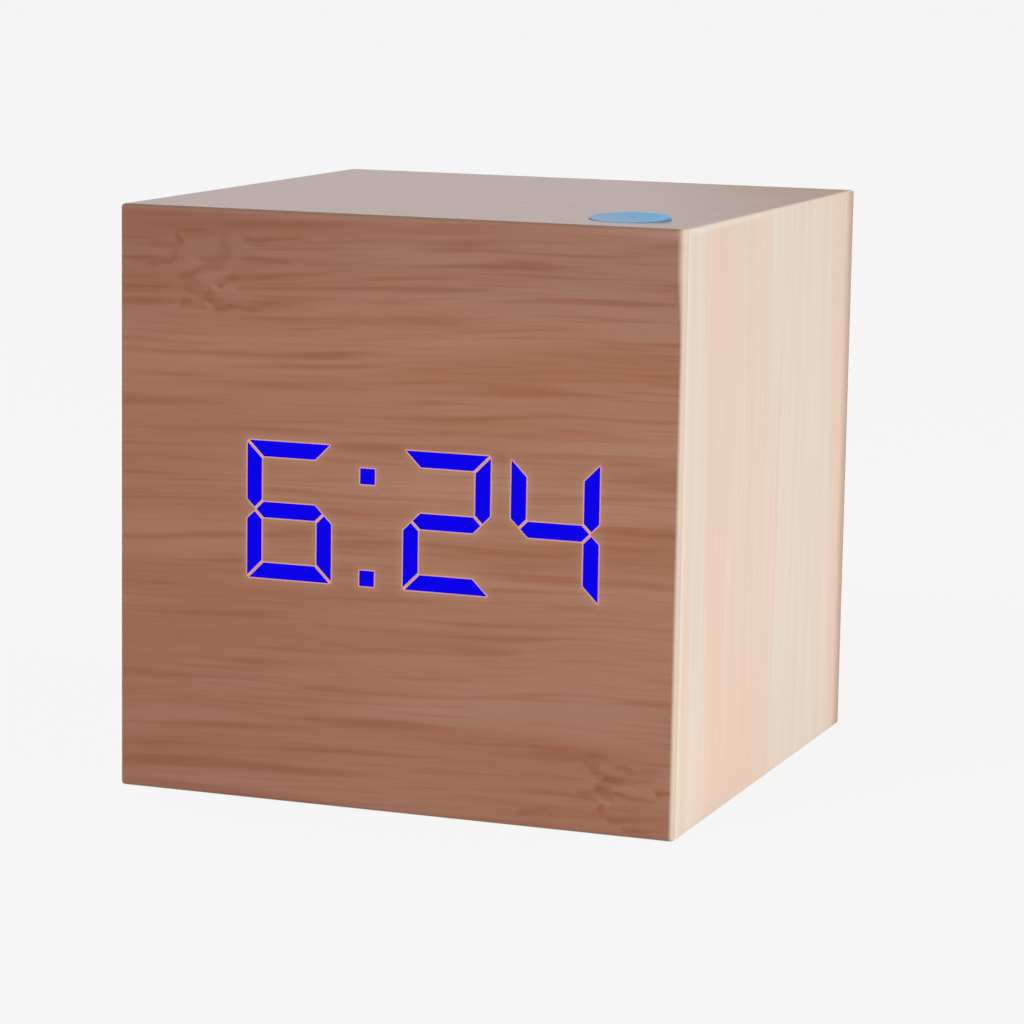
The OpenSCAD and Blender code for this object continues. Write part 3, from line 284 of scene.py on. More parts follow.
def bamboo_grain_tree():
    """Grain along X, from 0 to 1: broad bands, tapering streaks and fine fibres."""
    tree, n, given, out = new_group(
        "bamboo_grain", "ShaderNodeTree", {"Place": ORIGIN, "Length": 15.0, "Width": 0.75},
        ("Band", "Streak", "Fibre"))
    wave = n.noise(n.vector("MULTIPLY", given["Place"], WAVE_PITCH), detail=1.0)
    lift = n.times(n.math("SUBTRACT", wave, NOISE_MEAN), WAVE_LIFT)
    bent = n.vector("ADD", given["Place"], n.join(0.0, lift, lift))
    scaled = n.vector("DIVIDE", bent, n.join(given["Length"], given["Width"], given["Width"]))
    band = n.noise(n.vector("MULTIPLY", scaled, BAND_PITCH), detail=1.0)
    n.put(out["Band"], n.remap(band, *BAND_SPAN))
    broad = n.remap(n.noise(scaled, detail=1.0, roughness=0.45), *STREAK_SPAN)
    fine = n.remap(n.noise(n.vector("MULTIPLY", scaled, FINE_PITCH), detail=1.0), *FINE_SPAN)
    n.put(out["Streak"], n.math("MAXIMUM", broad, n.times(fine, FINE_DEPTH)))
    fibre = n.noise(n.vector("MULTIPLY", scaled, FIBRE_PITCH), roughness=0.6)
    n.put(out["Fibre"], n.remap(fibre, *FIBRE_SPAN))
    return tree


# Part of a stroke after which it fades
FADE_START = 0.2


def grain_stroke_tree():
    """One soft stroke of darker or paler wood between two points, from 0 to 1."""
    tree, n, given, out = new_group(
        "grain_stroke", "ShaderNodeTree",
        {"Place": ORIGIN, "Start": ORIGIN, "End": (1.0, 0.0, 0.0), "Width": 0.4, "Depth": 1.0, "Fade": 0.0},
        ("Mask",))
    run = n.vector("SUBTRACT", given["End"], given["Start"])
    gone = n.vector("SUBTRACT", given["Place"], given["Start"])
    part = n.math("DIVIDE", n.dot(gone, run), n.dot(run, run))
    nearest = n.stretched(run, n.remap(part, 0.0, 1.0, kind="LINEAR"))
    off = n.vector("SUBTRACT", gone, nearest)
    away = n.math("SQRT", n.dot(off, off))
    kept = n.math("SUBTRACT", 1.0, n.times(n.remap(part, FADE_START, 1.0), given["Fade"]))
    kept = n.times(kept, given["Depth"])
    n.put(out["Mask"], n.times(n.remap(away, given["Width"], 0.0), kept))
    return tree


# Soft changes of tint and of gloss on a moulding, with their pitch to the millimetre
TINT_PITCH, TINT_SPAN = 0.22, (0.3, 0.7)
GLOSS_PITCH, GLOSS_SPAN = 0.6, (0.35, 0.75)


def moulded_texture_tree():
    """Spark-eroded skin of a moulding: its height, and soft changes of tint and of gloss."""
    tree, n, given, out = new_group(
        "moulded_texture", "ShaderNodeTree", {"Place": ORIGIN, "Grain": 0.35}, ("Height", "Tint", "Gloss"))
    scaled = n.vector("DIVIDE", given["Place"], n.join(given["Grain"], given["Grain"], given["Grain"]))
    n.put(out["Height"], n.noise(scaled, roughness=0.6))
    n.put(out["Tint"], n.remap(n.noise(given["Place"], TINT_PITCH, detail=3.0), *TINT_SPAN))
    gloss = n.noise(given["Place"], GLOSS_PITCH, detail=4.0, roughness=0.65)
    n.put(out["Gloss"], n.remap(gloss, *GLOSS_SPAN))
    return tree


# Lines of drawn metal, with their pitch along and across them to the millimetre, and tarnish
LINE_PITCH, LINE_SPAN = (0.4, 9.0, 9.0), (0.3, 0.7)
TARNISH_PITCH, TARNISH_SPAN = 0.7, (0.4, 0.75)


def drawn_metal_tree():
    """Drawn metal: fine lines along X and soft tarnish."""
    tree, n, given, out = new_group("drawn_metal", "ShaderNodeTree", {"Place": ORIGIN}, ("Line", "Tarnish"))
    n.put(out["Line"], n.remap(n.noise(n.vector("MULTIPLY", given["Place"], LINE_PITCH)), *LINE_SPAN))
    n.put(out["Tarnish"], n.remap(n.noise(given["Place"], TARNISH_PITCH, detail=3.0), *TARNISH_SPAN))
    return tree


# Pads to the millimetre, then where a track and a pad end and where they are full, in steps between pads
PAD_PITCH = 0.42
TRACK_EDGE = (0.11, 0.06)
PAD_EDGE = (0.17, 0.13)


def board_tracks_tree():
    """Circuit board: copper tracks under the green mask, and tinned pads."""
    tree, n, given, out = new_group("board_tracks", "ShaderNodeTree", {"Place": ORIGIN}, ("Track", "Pad"))
    cells = {"Vector": given["Place"], "Scale": PAD_PITCH, "Randomness": 0.8}
    edge = n.result("ShaderNodeTexVoronoi", cells, feature="DISTANCE_TO_EDGE")
    n.put(out["Track"], n.remap(edge, *TRACK_EDGE))
    spot = n.result("ShaderNodeTexVoronoi", cells, feature="F1")
    n.put(out["Pad"], n.remap(spot, *PAD_EDGE))
    return tree


# Finishes

def new_finish(name):
    """A material with one Principled shader. Returns the material, its nodes and the shader's inputs."""
    material = bpy.data.materials.new(name)
    material.use_nodes = True
    material.node_tree.nodes.clear()
    n = Nodes(material.node_tree)
    shader = n.add("ShaderNodeBsdfPrincipled")
    n.add("ShaderNodeOutputMaterial", {"Surface": shader.outputs[0]})
    return material, n, shader.inputs


def raise_skin(n, shader, height, depth, strength):
    """Raises the surface by a height from 0 to 1 times a depth in millimetres, at a strength."""
    bump = n.result("ShaderNodeBump", {"Height": height, "Distance": depth * MM, "Strength": strength})
    n.put(shader["Normal"], bump)


# Joints of the cane on the front. Each one has its middle and its reach, where the plain streaks give way,
# and its strokes: from (x, z) to (x, z), width, and how dark. A stroke below zero is paler than the wood.
FRONT_JOINTS = (
    ((-20.5, 53.6), (5.5, 5.0), (
        (-18.9, 52.4, -18.6, 52.5, 0.65, 1.0), (-18.3, 52.9, -14.5, 53.1, 0.45, 0.7),
        (-22.6, 51.9, -20.4, 51.2, 0.7, 0.6), (-20.4, 51.2, -18.8, 50.2, 0.9, 0.8),
        (-18.8, 50.2, -16.7, 50.3, 0.75, 0.9), (-16.7, 50.3, -6.0, 51.1, 0.7, 0.7),
        (-22.7, 53.1, -21.3, 53.3, 0.8, 0.7), (-21.3, 53.5, -18.8, 55.0, 1.3, 0.6),
        (-18.5, 55.0, -18.4, 57.6, 0.8, 0.4), (-23.5, 57.4, -23.4, 55.4, 0.5, 0.8),
        (-23.4, 55.4, -24.6, 54.4, 0.5, 0.6), (-24.6, 54.4, -30.0, 54.3, 0.5, 0.7),
        (-23.8, 56.2, -30.0, 56.0, 0.4, 0.7), (-22.6, 57.7, -20.0, 57.7, 0.5, 0.9),
        (-26.4, 52.1, -22.8, 51.7, 0.5, 0.5), (-23.0, 50.3, -21.0, 50.15, 0.45, 0.8),
        (-15.5, 56.8, -4.0, 57.2, 0.5, 0.6), (-16.0, 54.9, -4.0, 55.2, 0.5, 0.6),
        (-21.0, 52.9, -17.9, 53.6, 0.6, -0.9), (-19.9, 52.2, -16.7, 51.8, 0.55, -0.9),
        (-20.5, 50.6, -19.8, 50.2, 0.45, -0.8), (-22.2, 54.7, -21.6, 54.2, 0.5, -0.6))),
    ((24.5, 4.5), (4.5, 4.0), (
        (22.2, 4.8, 23.3, 4.5, 0.8, 1.0), (21.2, 6.7, 21.8, 6.0, 0.6, 0.7),
        (21.8, 6.0, 23.2, 5.65, 0.5, 0.7), (23.2, 5.6, 25.6, 5.8, 0.65, 1.0),
        (25.6, 5.85, 28.0, 6.1, 0.45, 0.5), (24.0, 6.85, 25.8, 6.6, 0.45, 0.8),
        (26.0, 6.6, 30.0, 6.9, 0.7, 0.4), (20.4, 3.8, 21.7, 3.85, 0.5, 0.7),
        (24.0, 4.3, 25.2, 3.95, 0.4, 0.7), (25.2, 3.95, 27.8, 3.75, 0.4, 0.7),
        (22.1, 3.1, 22.8, 1.9, 0.55, 0.7), (23.1, 2.8, 30.0, 3.2, 0.45, 0.5),
        (23.0, 1.65, 30.0, 2.15, 0.55, 0.7), (28.1, 4.6, 29.9, 4.9, 0.6, 0.9),
        (16.0, 8.0, 21.2, 8.1, 0.6, 0.6), (21.2, 8.1, 23.2, 7.7, 0.5, 0.6),
        (14.0, 1.7, 19.8, 2.0, 0.55, 0.7), (25.3, 0.7, 30.0, 1.1, 0.5, 0.6),
        (21.7, 5.5, 22.1, 5.3, 0.5, -0.8), (22.1, 3.6, 22.5, 3.4, 0.5, -0.8),
        (24.0, 5.0, 28.0, 4.7, 0.4, -0.6))),
)


# Pitch and reach of the strokes' sway, how soft and how long a stroke is before it fades in full, where the
# plain streaks start to give way and where they have, and the fibres that thin a stroke
SWAY_PITCH = (0.5, 0.8, 0.0)
SWAY_REACH = (2.2, 1.0, 0.0)
STROKE_SOFT = 1.25
STROKE_FADE = 6.0
JOINT_CALM = (1.5, 0.4)
THIN_PITCH, THIN_SPAN, THIN_LEVEL = (0.35, 2.2, 0.0), (0.35, 0.6), (0.55, 1.0)


def joint_figure(n, place):
    """The joints of the cane: dark strokes, pale strokes and where the plain streaks give way."""
    sway = n.noise(n.vector("MULTIPLY", place, SWAY_PITCH), detail=0.5, output="Color")
    sway = n.vector("MULTIPLY", n.vector("SUBTRACT", sway, (NOISE_MEAN,) * 3), SWAY_REACH)
    swayed = n.vector("ADD", n.vector("MULTIPLY", place, (1.0, 1.0, 0.0)), sway)
    marks = {True: 0.0, False: 0.0}
    calm = 0.0
    for middle, reach, strokes in FRONT_JOINTS:
        from_middle = n.vector("SUBTRACT", swayed, (*middle, 0.0))
        shrunk = n.vector("DIVIDE", from_middle, (*reach, 1.0))
        calm = n.math("MAXIMUM", n.remap(n.dot(shrunk, shrunk), *JOINT_CALM), calm)
        for x, z, end_x, end_z, width, depth in strokes:
            mask = n.group("grain_stroke", {
                "Place": swayed, "Start": (x, z, 0.0), "End": (end_x, end_z, 0.0),
                "Width": width * STROKE_SOFT, "Depth": abs(depth),
                "Fade": min(1.0, math.hypot(end_x - x, end_z - z) / STROKE_FADE)})["Mask"]
            marks[depth > 0] = n.math("MAXIMUM", mask, marks[depth > 0])
    thin = n.remap(n.noise(n.vector("MULTIPLY", place, THIN_PITCH)), *THIN_SPAN, *THIN_LEVEL)
    return n.times(marks[True], thin), marks[False], calm


# Rise of the brown grain to the right, for each millimetre along it
GRAIN_TILT = 0.035
LACQUER_IOR = 1.46
# Depth of the wood's skin in millimetres
WOOD_SKIN = 0.02
# Levels between which a fibre changes the brown and the pale wood
BROWN_FIBRE = (0.96, 1.04)
PALE_FIBRE = (0.98, 1.02)


def brown_bamboo(name, order, wood_of):
    """Brown bamboo under satin lacquer. The order names the axes along, across and into the wood."""
    wood = bpy.context.scene.clock_bamboo
    material, n, shader = new_finish(name)
    axes = n.split(n.place_mm())
    along, across, deep = (axes[axis] for axis in order)
    tilted = n.join(along, n.math("MULTIPLY_ADD", along, -GRAIN_TILT, across), deep)
    grain = n.group("bamboo_grain", {
        "Place": tilted, "Length": wood.streak_length / MM, "Width": wood.streak_width / MM})
    ground = n.level(n.mix(grain["Band"], wood.shadow, wood.ground), n.vary(grain["Fibre"], *BROWN_FIBRE))
    tint, gloss = wood_of(n, axes, grain, ground)
    n.fill(shader, {"Base Color": tint, "Roughness": gloss, "IOR": LACQUER_IOR})
    raise_skin(n, shader, grain["Fibre"], WOOD_SKIN, strength=0.12)
    return material


# Changes of tint over the front: where each one starts and where it is full, in millimetres, and how
# strong it is or between which levels it goes
STREAK_RISE, STREAK_DEPTH = (10.0, 45.0), (0.54, 0.67)
CALM_STREAKS = 0.3
LEFT_TONE, LEFT_BROWN, LEFT_LEVEL = (-36.0, 8.0), 0.22, (0.94, 1.02)
UPPER_TONE, UPPER_LEVEL = (44.0, 57.0), (1.03, 0.87)
LOWER_TONE, LOWER_LEVEL = (18.0, 12.0), (1.0, 0.96)
PALE_JOINT = 0.5
# A painted highlight just below the upper edge of the front, growing to the right
FRONT_HIGHLIGHT_BAND = (58.6, 59.6)
FRONT_HIGHLIGHT_MIDDLE, FRONT_HIGHLIGHT_MIDDLE_DEPTH = (-26.0, -12.0), 0.12
FRONT_HIGHLIGHT_RIGHT, FRONT_HIGHLIGHT_RIGHT_DEPTH = (18.0, 29.0), 0.2
# A painted shade on the eased upper edge, deeper to the left, and its duller gloss
EASED_TOP, EASED_ALONG, EASED_DEPTH = (59.55, 59.75), (-30.0, 25.0), (0.95, 0.6)
EASED_DULL = 0.25
# A painted highlight on the eased right edge, reaching further in towards the top
EDGE_WIDENS, RIGHT_EDGE_STARTS = (49.0, 57.0), (29.35, 28.9)
RIGHT_EDGE_FULL, RIGHT_EDGE_DEPTH = 29.85, 0.8
HALO_DEPTH = 0.22
RIM_FULL = 0.4
GLOSS_SPREAD = 0.03


def front_wood(n, axes, grain, ground):
    """Tint and gloss of the front: streaks, joints, painted shade and painted highlights on the eased
    edges, and the glow round the segments.
    """
    wood, glow = bpy.context.scene.clock_bamboo, bpy.context.scene.clock_glow
    x, y, z = axes
    dark, pale, calm = joint_figure(n, n.join(x, z, y))
    streak = n.times(grain["Streak"], n.remap(z, *STREAK_RISE, *STREAK_DEPTH))
    tint = n.mix(n.times(streak, n.vary(calm, 1.0, CALM_STREAKS)), ground, wood.streak)
    tint = n.mix(n.remap(x, *LEFT_TONE, LEFT_BROWN, 0.0), tint, wood.streak)
    tint = n.mix(n.times(pale, PALE_JOINT), tint, wood.glint)
    tint = n.mix(dark, tint, wood.streak)
    tone = n.times(n.remap(x, *LEFT_TONE, *LEFT_LEVEL), n.remap(z, *UPPER_TONE, *UPPER_LEVEL))
    tint = n.level(tint, n.times(tone, n.remap(z, *LOWER_TONE, *LOWER_LEVEL)))
    # Painted highlight just below the upper edge, from none at the left to strongest at the right
    front_highlight = n.math("ADD", n.remap(x, *FRONT_HIGHLIGHT_MIDDLE, 0.0, FRONT_HIGHLIGHT_MIDDLE_DEPTH),
                   n.remap(x, *FRONT_HIGHLIGHT_RIGHT, 0.0, FRONT_HIGHLIGHT_RIGHT_DEPTH))
    tint = n.mix(n.times(front_highlight, n.remap(z, *FRONT_HIGHLIGHT_BAND)), tint, wood.front_highlight)
    # Painted shade on the eased upper edge, deeper to the left
    eased_top = n.remap(z, *EASED_TOP)
    tint = n.mix(n.times(eased_top, n.remap(x, *EASED_ALONG, *EASED_DEPTH)), tint, wood.edge)
    # Painted highlight on the eased right edge
    edge_start = n.remap(z, *EDGE_WIDENS, *RIGHT_EDGE_STARTS)
    tint = n.mix(n.remap(x, edge_start, RIGHT_EDGE_FULL, 0.0, RIGHT_EDGE_DEPTH), tint, wood.cream)
    away = n.stored("glow_distance")
    tint = n.mix(n.remap(away, glow.halo_width, 0.0, 0.0, HALO_DEPTH), tint, glow.halo)
    tint = n.mix(n.remap(away, glow.rim_width, glow.rim_width * RIM_FULL), tint, glow.rim)
    gloss = n.vary(grain["Fibre"], wood.lacquer + GLOSS_SPREAD, wood.lacquer - GLOSS_SPREAD)
    return tint, n.math("MULTIPLY_ADD", eased_top, EASED_DULL, gloss)


# The top and the bottom: depth of the streaks, where the painted sheen clears, which also leans to the
# back, and depth, level and gloss from the sheened to the clear end. The sheen is a painted reflection, and
# the lower level at the clear end is painted shade.
LEVEL_STREAKS = 0.4
CLEARING, CLEARING_LEAN = (5.0, 46.0), 0.4
TOP_SHEEN_DEPTH, TOP_SHEEN_GLOSS = (0.65, 0.12), (0.29, 0.4)
CLEAR_TONE, CLEAR_LEVEL = (0.5, 1.0), (1.0, 0.9)
# A painted highlight along the side edges of the top and the bottom: where it starts and where it is full,
# and its depth
BOARD_EDGE_HIGHLIGHT, BOARD_EDGE_HIGHLIGHT_DEPTH = (29.5, 29.9), 0.75


def level_wood(n, axes, grain, ground):
    """Tint and gloss of the top and the bottom: a painted sheen that clears to the right, browner there,
    and a painted highlight along the sides.
    """
    wood = bpy.context.scene.clock_bamboo
    x, y = axes["X"], axes["Y"]
    tint = n.mix(n.times(grain["Streak"], LEVEL_STREAKS), ground, wood.streak)
    clear = n.remap(n.math("MULTIPLY_ADD", y, CLEARING_LEAN, x), *CLEARING)
    # Painted sheen: a reflection over the top that clears to the right
    tint = n.mix(n.vary(clear, *TOP_SHEEN_DEPTH), tint, wood.top_sheen)
    # Painted shade: darker at the clear end
    tint = n.level(tint, n.remap(clear, *CLEAR_TONE, *CLEAR_LEVEL))
    # Painted highlight along the side edges
    tint = n.mix(n.remap(n.math("ABSOLUTE", x), *BOARD_EDGE_HIGHLIGHT, 0.0, BOARD_EDGE_HIGHLIGHT_DEPTH), tint, wood.cream)
    return tint, n.math("MULTIPLY_ADD", grain["Fibre"], -GLOSS_SPREAD, n.vary(clear, *TOP_SHEEN_GLOSS))


# Strips of the pale sides from the front to the back: where each one ends, and how rosy it is
SIDE_STRIPS = ((0.0, 0.0), (0.125, 0.0), (0.145, 1.0), (0.5, 0.6), (0.515, 0.0), (0.87, 0.0), (0.9, 0.9))
# Lean of the strips for each millimetre up from the middle, and pitch and reach of their uneven edges
STRIP_LEAN, STRIP_MIDDLE = 0.06, 30.0
SLIP_PITCH, SLIP_REACH = (0.03, 0.6, 0.6), 2.5
PALE_GRAIN = {"Length": 60.0, "Width": 2.2}
PALE_STREAKS = 0.8
CREAM_BAND, CREAM_DEPTH = (0.5, 1.0), 0.35
PALE_GLOSS = (0.52, 0.42)
# Changes of tint on an outer side, in the way of those over the front: painted floor light, lighter at the
# bottom and darker at the top; browner towards the rear edge; and a painted highlight on the front edge and
# on the upper edge near the front
FLOOR_BOUNCE, FLOOR_BOUNCE_LEVEL = (0.0, 60.0), (1.03, 0.935)
# Where the pale sides grow browner towards the rear edge, and how brown they are
REAR_BROWN, REAR_BROWN_DEPTH = (26.2, 29.8), 0.8
# A painted highlight on the front edge and on the upper edge near the front
SIDE_HIGHLIGHT_FRONT, SIDE_HIGHLIGHT_TOP, SIDE_HIGHLIGHT_ALONG = (-28.4, -29.3), (59.2, 59.8), (15.0, -20.0)
SIDE_HIGHLIGHT_DEPTH = 0.6


def pale_bamboo(name, order, across_range, painted_light_and_brown_rear=False):
    """Pale bamboo in strips of cream and rose. An outer side takes painted floor light, is browner at the
    rear, and has a painted highlight along its front edges.
    """
    wood = bpy.context.scene.clock_bamboo
    material, n, shader = new_finish(name)
    axes = n.split(n.place_mm())
    place = n.join(*(axes[axis] for axis in order))
    grain = n.group("bamboo_grain", {"Place": place, **PALE_GRAIN})
    slip = n.noise(n.vector("MULTIPLY", place, SLIP_PITCH))
    across = n.math("MULTIPLY_ADD", n.math("SUBTRACT", slip, NOISE_MEAN), SLIP_REACH, axes[order[1]])
    across = n.math("MULTIPLY_ADD", n.math("SUBTRACT", axes[order[0]], STRIP_MIDDLE), STRIP_LEAN, across)
    cream, blush = Vector(wood.cream), Vector(wood.blush)
    strip = n.ramp(n.remap(across, *across_range, kind="LINEAR"),
                   [(end, cream.lerp(blush, rosy)) for end, rosy in SIDE_STRIPS])
    tint = n.mix(n.times(grain["Streak"], PALE_STREAKS), strip, wood.blush)
    tint = n.mix(n.remap(grain["Band"], *CREAM_BAND, 0.0, CREAM_DEPTH), tint, wood.cream)
    tint = n.level(tint, n.vary(grain["Fibre"], *PALE_FIBRE))
    if painted_light_and_brown_rear:
        y, z = axes["Y"], axes["Z"]
        # Painted light from the floor: lighter at the bottom, darker at the top
        tint = n.level(tint, n.remap(z, *FLOOR_BOUNCE, *FLOOR_BOUNCE_LEVEL, "LINEAR"))
        # Browner towards the rear edge
        tint = n.mix(n.remap(y, *REAR_BROWN, 0.0, REAR_BROWN_DEPTH), tint, wood.rear_brown)
        # Painted highlight on the upper edge near the front and on the front edge
        bare = n.times(n.remap(z, *SIDE_HIGHLIGHT_TOP), n.remap(y, *SIDE_HIGHLIGHT_ALONG))
        bare = n.times(n.math("MAXIMUM", bare, n.remap(y, *SIDE_HIGHLIGHT_FRONT)), SIDE_HIGHLIGHT_DEPTH)
        tint = n.mix(bare, tint, wood.bare)
    n.fill(shader, {
        "Base Color": tint, "Roughness": n.vary(grain["Fibre"], *PALE_GLOSS), "IOR": LACQUER_IOR})
    raise_skin(n, shader, grain["Fibre"], WOOD_SKIN, strength=0.1)
    return material


def lit_segment():
    """Light behind the face, dimmed a little by the fibres."""
    glow = bpy.context.scene.clock_glow
    material, n, shader = new_finish("segment_light")
    axes = n.split(n.place_mm())
    fibre = n.group("bamboo_grain", {"Place": n.join(axes["X"], axes["Z"], axes["Y"])})["Fibre"]
    n.fill(shader, {
        "Base Color": n.level(shade(1, 0, 24), n.vary(fibre, 0.8, 1.2)),
        "Emission Color": n.mix(fibre, glow.dusk, glow.light), "Emission Strength": 1.0,
        "Specular IOR Level": 0.0, "Roughness": n.vary(fibre, 0.5, 0.4)})
    return material


# Spread of the roughness over a moulding and over a metal
MOULDED_SPREAD = 0.12
METAL_SPREAD = 0.15


def moulded(name, body, faded, gloss, depth, strength=0.4):
    """Moulded plastic: two near tints, a roughness and the depth of its skin in millimetres."""
    material, n, shader = new_finish(name)
    skin = n.group("moulded_texture", {
        "Place": n.place_mm(), "Grain": bpy.context.scene.clock_moulding.grain / MM})
    n.fill(shader, {
        "Base Color": n.mix(skin["Tint"], body, faded),
        "Roughness": n.vary(skin["Gloss"], gloss, gloss + MOULDED_SPREAD)})
    raise_skin(n, shader, skin["Height"], depth, strength)
    return material


def bare_metal(name, bright, dull, gloss):
    """Drawn or plated metal."""
    material, n, shader = new_finish(name)
    drawn = n.group("drawn_metal", {"Place": n.place_mm()})
    n.fill(shader, {
        "Base Color": n.mix(drawn["Tarnish"], bright, dull), "Metallic": 1.0,
        "Roughness": n.vary(drawn["Line"], gloss, gloss + METAL_SPREAD)})
    raise_skin(n, shader, drawn["Line"], depth=0.01, strength=0.3)
    return material


def circuit_board():
    """Green solder mask over copper, with tinned pads."""
    material, n, shader = new_finish("board_laminate")
    tracks = n.group("board_tracks", {"Place": n.place_mm()})
    masked = n.mix(tracks["Track"], shade(16, 78, 46), shade(34, 112, 66))
    n.fill(shader, {
        "Base Color": n.mix(tracks["Pad"], masked, shade(190, 188, 180)),
        "Metallic": n.times(tracks["Pad"], 0.8), "Roughness": n.vary(tracks["Track"], 0.42, 0.34)})
    raise_skin(n, shader, tracks["Track"], depth=0.03, strength=0.5)
    return material


ACRYLIC_IOR = 1.49
FROST_SPAN, FROST_GLOSS = (0.3, 0.7), (0.2, 0.4)


def clear_lens():
    """Clear moulding with a frosted face."""
    material, n, shader = new_finish("lens_acrylic")
    skin = n.group("moulded_texture", {"Place": n.place_mm(), "Grain": 0.2})
    n.fill(shader, {
        "Base Color": n.mix(skin["Tint"], shade(226, 232, 240), shade(240, 242, 246)),
        "Roughness": n.remap(skin["Height"], *FROST_SPAN, *FROST_GLOSS),
        "Transmission Weight": 0.8, "IOR": ACRYLIC_IOR})
    return material


# Edges of the print on a cell, from its flat end to its cap: where each one starts and where it is full
FLAT_END = (0.016, 0.012)
BAND_START = (0.70, 0.704)
BAND_END = (0.76, 0.764)
CAP_END = (0.962, 0.966)


def cell_wrap():
    """Printed sleeve of a cell: slate body, pale band, green end and bare steel at both ends."""
    material, n, shader = new_finish("cell_sleeve")
    along = n.stored("cell_along")
    skin = n.group("moulded_texture", {"Place": n.place_mm(), "Grain": 0.8})
    steel = n.math("MAXIMUM", n.remap(along, *FLAT_END), n.remap(along, *CAP_END))
    band = n.times(n.remap(along, *BAND_START), n.remap(along, *reversed(BAND_END)))
    tint = n.mix(n.remap(along, *BAND_END), shade(44, 62, 74), shade(96, 130, 70))
    tint = n.mix(band, tint, shade(214, 216, 214))
    tint = n.level(tint, n.vary(skin["Tint"], 0.92, 1.08))
    n.fill(shader, {
        "Base Color": n.mix(steel, tint, shade(196, 194, 190)),
        "Metallic": n.math("MAXIMUM", steel, 0.35), "Roughness": n.vary(skin["Gloss"], 0.28, 0.4)})
    raise_skin(n, shader, skin["Height"], depth=0.01, strength=0.2)
    return material


# Edge of the marked core, between a part of 0 and of 1
CORE_EDGE = (0.4, 0.6)


def flat_cable():
    """Grey insulation with one marked core."""
    material, n, shader = new_finish("cable_vinyl")
    skin = n.group("moulded_texture", {"Place": n.place_mm(), "Grain": 0.5})
    grey = n.mix(skin["Tint"], shade(176, 177, 176), shade(196, 196, 192))
    n.fill(shader, {
        "Base Color": n.mix(n.remap(n.stored("first_core"), *CORE_EDGE), grey, shade(168, 44, 40)),
        "Roughness": n.vary(skin["Gloss"], 0.45, 0.6)})
    raise_skin(n, shader, skin["Height"], depth=0.01, strength=0.3)
    return material


def lighter(tint, times):
    return tuple(part * times for part in tint)


def rear_cover_black():
    """Coarse black skin of the rear cover and its door."""
    black = bpy.context.scene.clock_moulding.cover
    return moulded("cover_plastic", black, lighter(black, 1.35), gloss=0.46, depth=0.03, strength=0.55)


def rear_key_grey():
    """Finer grey skin of the rear keys."""
    grey = bpy.context.scene.clock_moulding.rear_key
    return moulded("rear_key_plastic", grey, lighter(grey, 1.12), gloss=0.42, depth=0.015, strength=0.35)


# Parts of the top key, from its middle: a painted sheen, paler to the left, and full blue without the sheen
# at the back on the right. The way to the back right is across and back, with a little of the skin's tint.
KEY_SHEEN_SPAN = (2.5, -3.5)
KEY_SHEEN_FREE_SPAN = (1.2, 2.1)
TO_BACK_RIGHT = (0.55, 0.83)
TINT_SWAY = 0.3
HALF_SHEEN = 0.5


def top_key_blue():
    """Blue plastic under a painted sheen that makes it paler to the front and the left."""
    own = bpy.context.scene.clock_moulding
    material, n, shader = new_finish("top_key_plastic")
    place = n.place_mm()
    skin = n.group("moulded_texture", {"Place": place, "Grain": 0.6})
    low, high = box_mm("snooze_key")
    from_middle = n.split(n.vector("SUBTRACT", place, (low + high) / 2))
    across, back = from_middle["X"], from_middle["Y"]
    half_sheened_blue = Vector(own.top_key).lerp(Vector(own.key_sheen), HALF_SHEEN)
    # Painted sheen, paler to the left
    sheened_blue = n.mix(n.remap(across, *KEY_SHEEN_SPAN), half_sheened_blue, own.key_sheen)
    sheen_free = n.math("ADD", n.times(across, TO_BACK_RIGHT[0]), n.times(back, TO_BACK_RIGHT[1]))
    sheen_free = n.math("MULTIPLY_ADD", skin["Tint"], TINT_SWAY, sheen_free)
    n.fill(shader, {
        "Base Color": n.mix(n.remap(sheen_free, *KEY_SHEEN_FREE_SPAN), sheened_blue, own.top_key),
        "Roughness": n.vary(skin["Gloss"], 0.42, 0.5), "Specular IOR Level": 0.3})
    raise_skin(n, shader, skin["Height"], depth=0.004, strength=0.2)
    return material


# Plain mouldings: two near tints, the roughness, and the depth of the skin in millimetres
MOULDINGS = {
    "plunger_plastic": ((212, 210, 204), (222, 220, 214), 0.4, 0.02),
    "mask_plastic": ((226, 226, 222), (236, 236, 233), 0.5, 0.02),
    "led_resin": ((236, 234, 214), (244, 242, 228), 0.3, 0.01),
    "spacer_nylon": ((222, 219, 208), (230, 228, 219), 0.45, 0.02),
    "component_epoxy": ((28, 28, 30), (38, 38, 40), 0.5, 0.02),
    "capacitor_wrap": ((26, 34, 70), (34, 42, 82), 0.3, 0.01),
    "red_insulation": ((168, 24, 20), (184, 34, 28), 0.35, 0.01),
    "black_insulation": ((24, 24, 26), (34, 34, 36), 0.35, 0.01),
}
# Metals: the bright and the dull tint, and the roughness
METALS = {
    "switch_steel": ((196, 197, 199), (160, 160, 162), 0.3),
    "screw_zinc": ((178, 178, 180), (138, 138, 142), 0.3),
    "contact_plating": ((204, 200, 192), (170, 165, 156), 0.22),
}
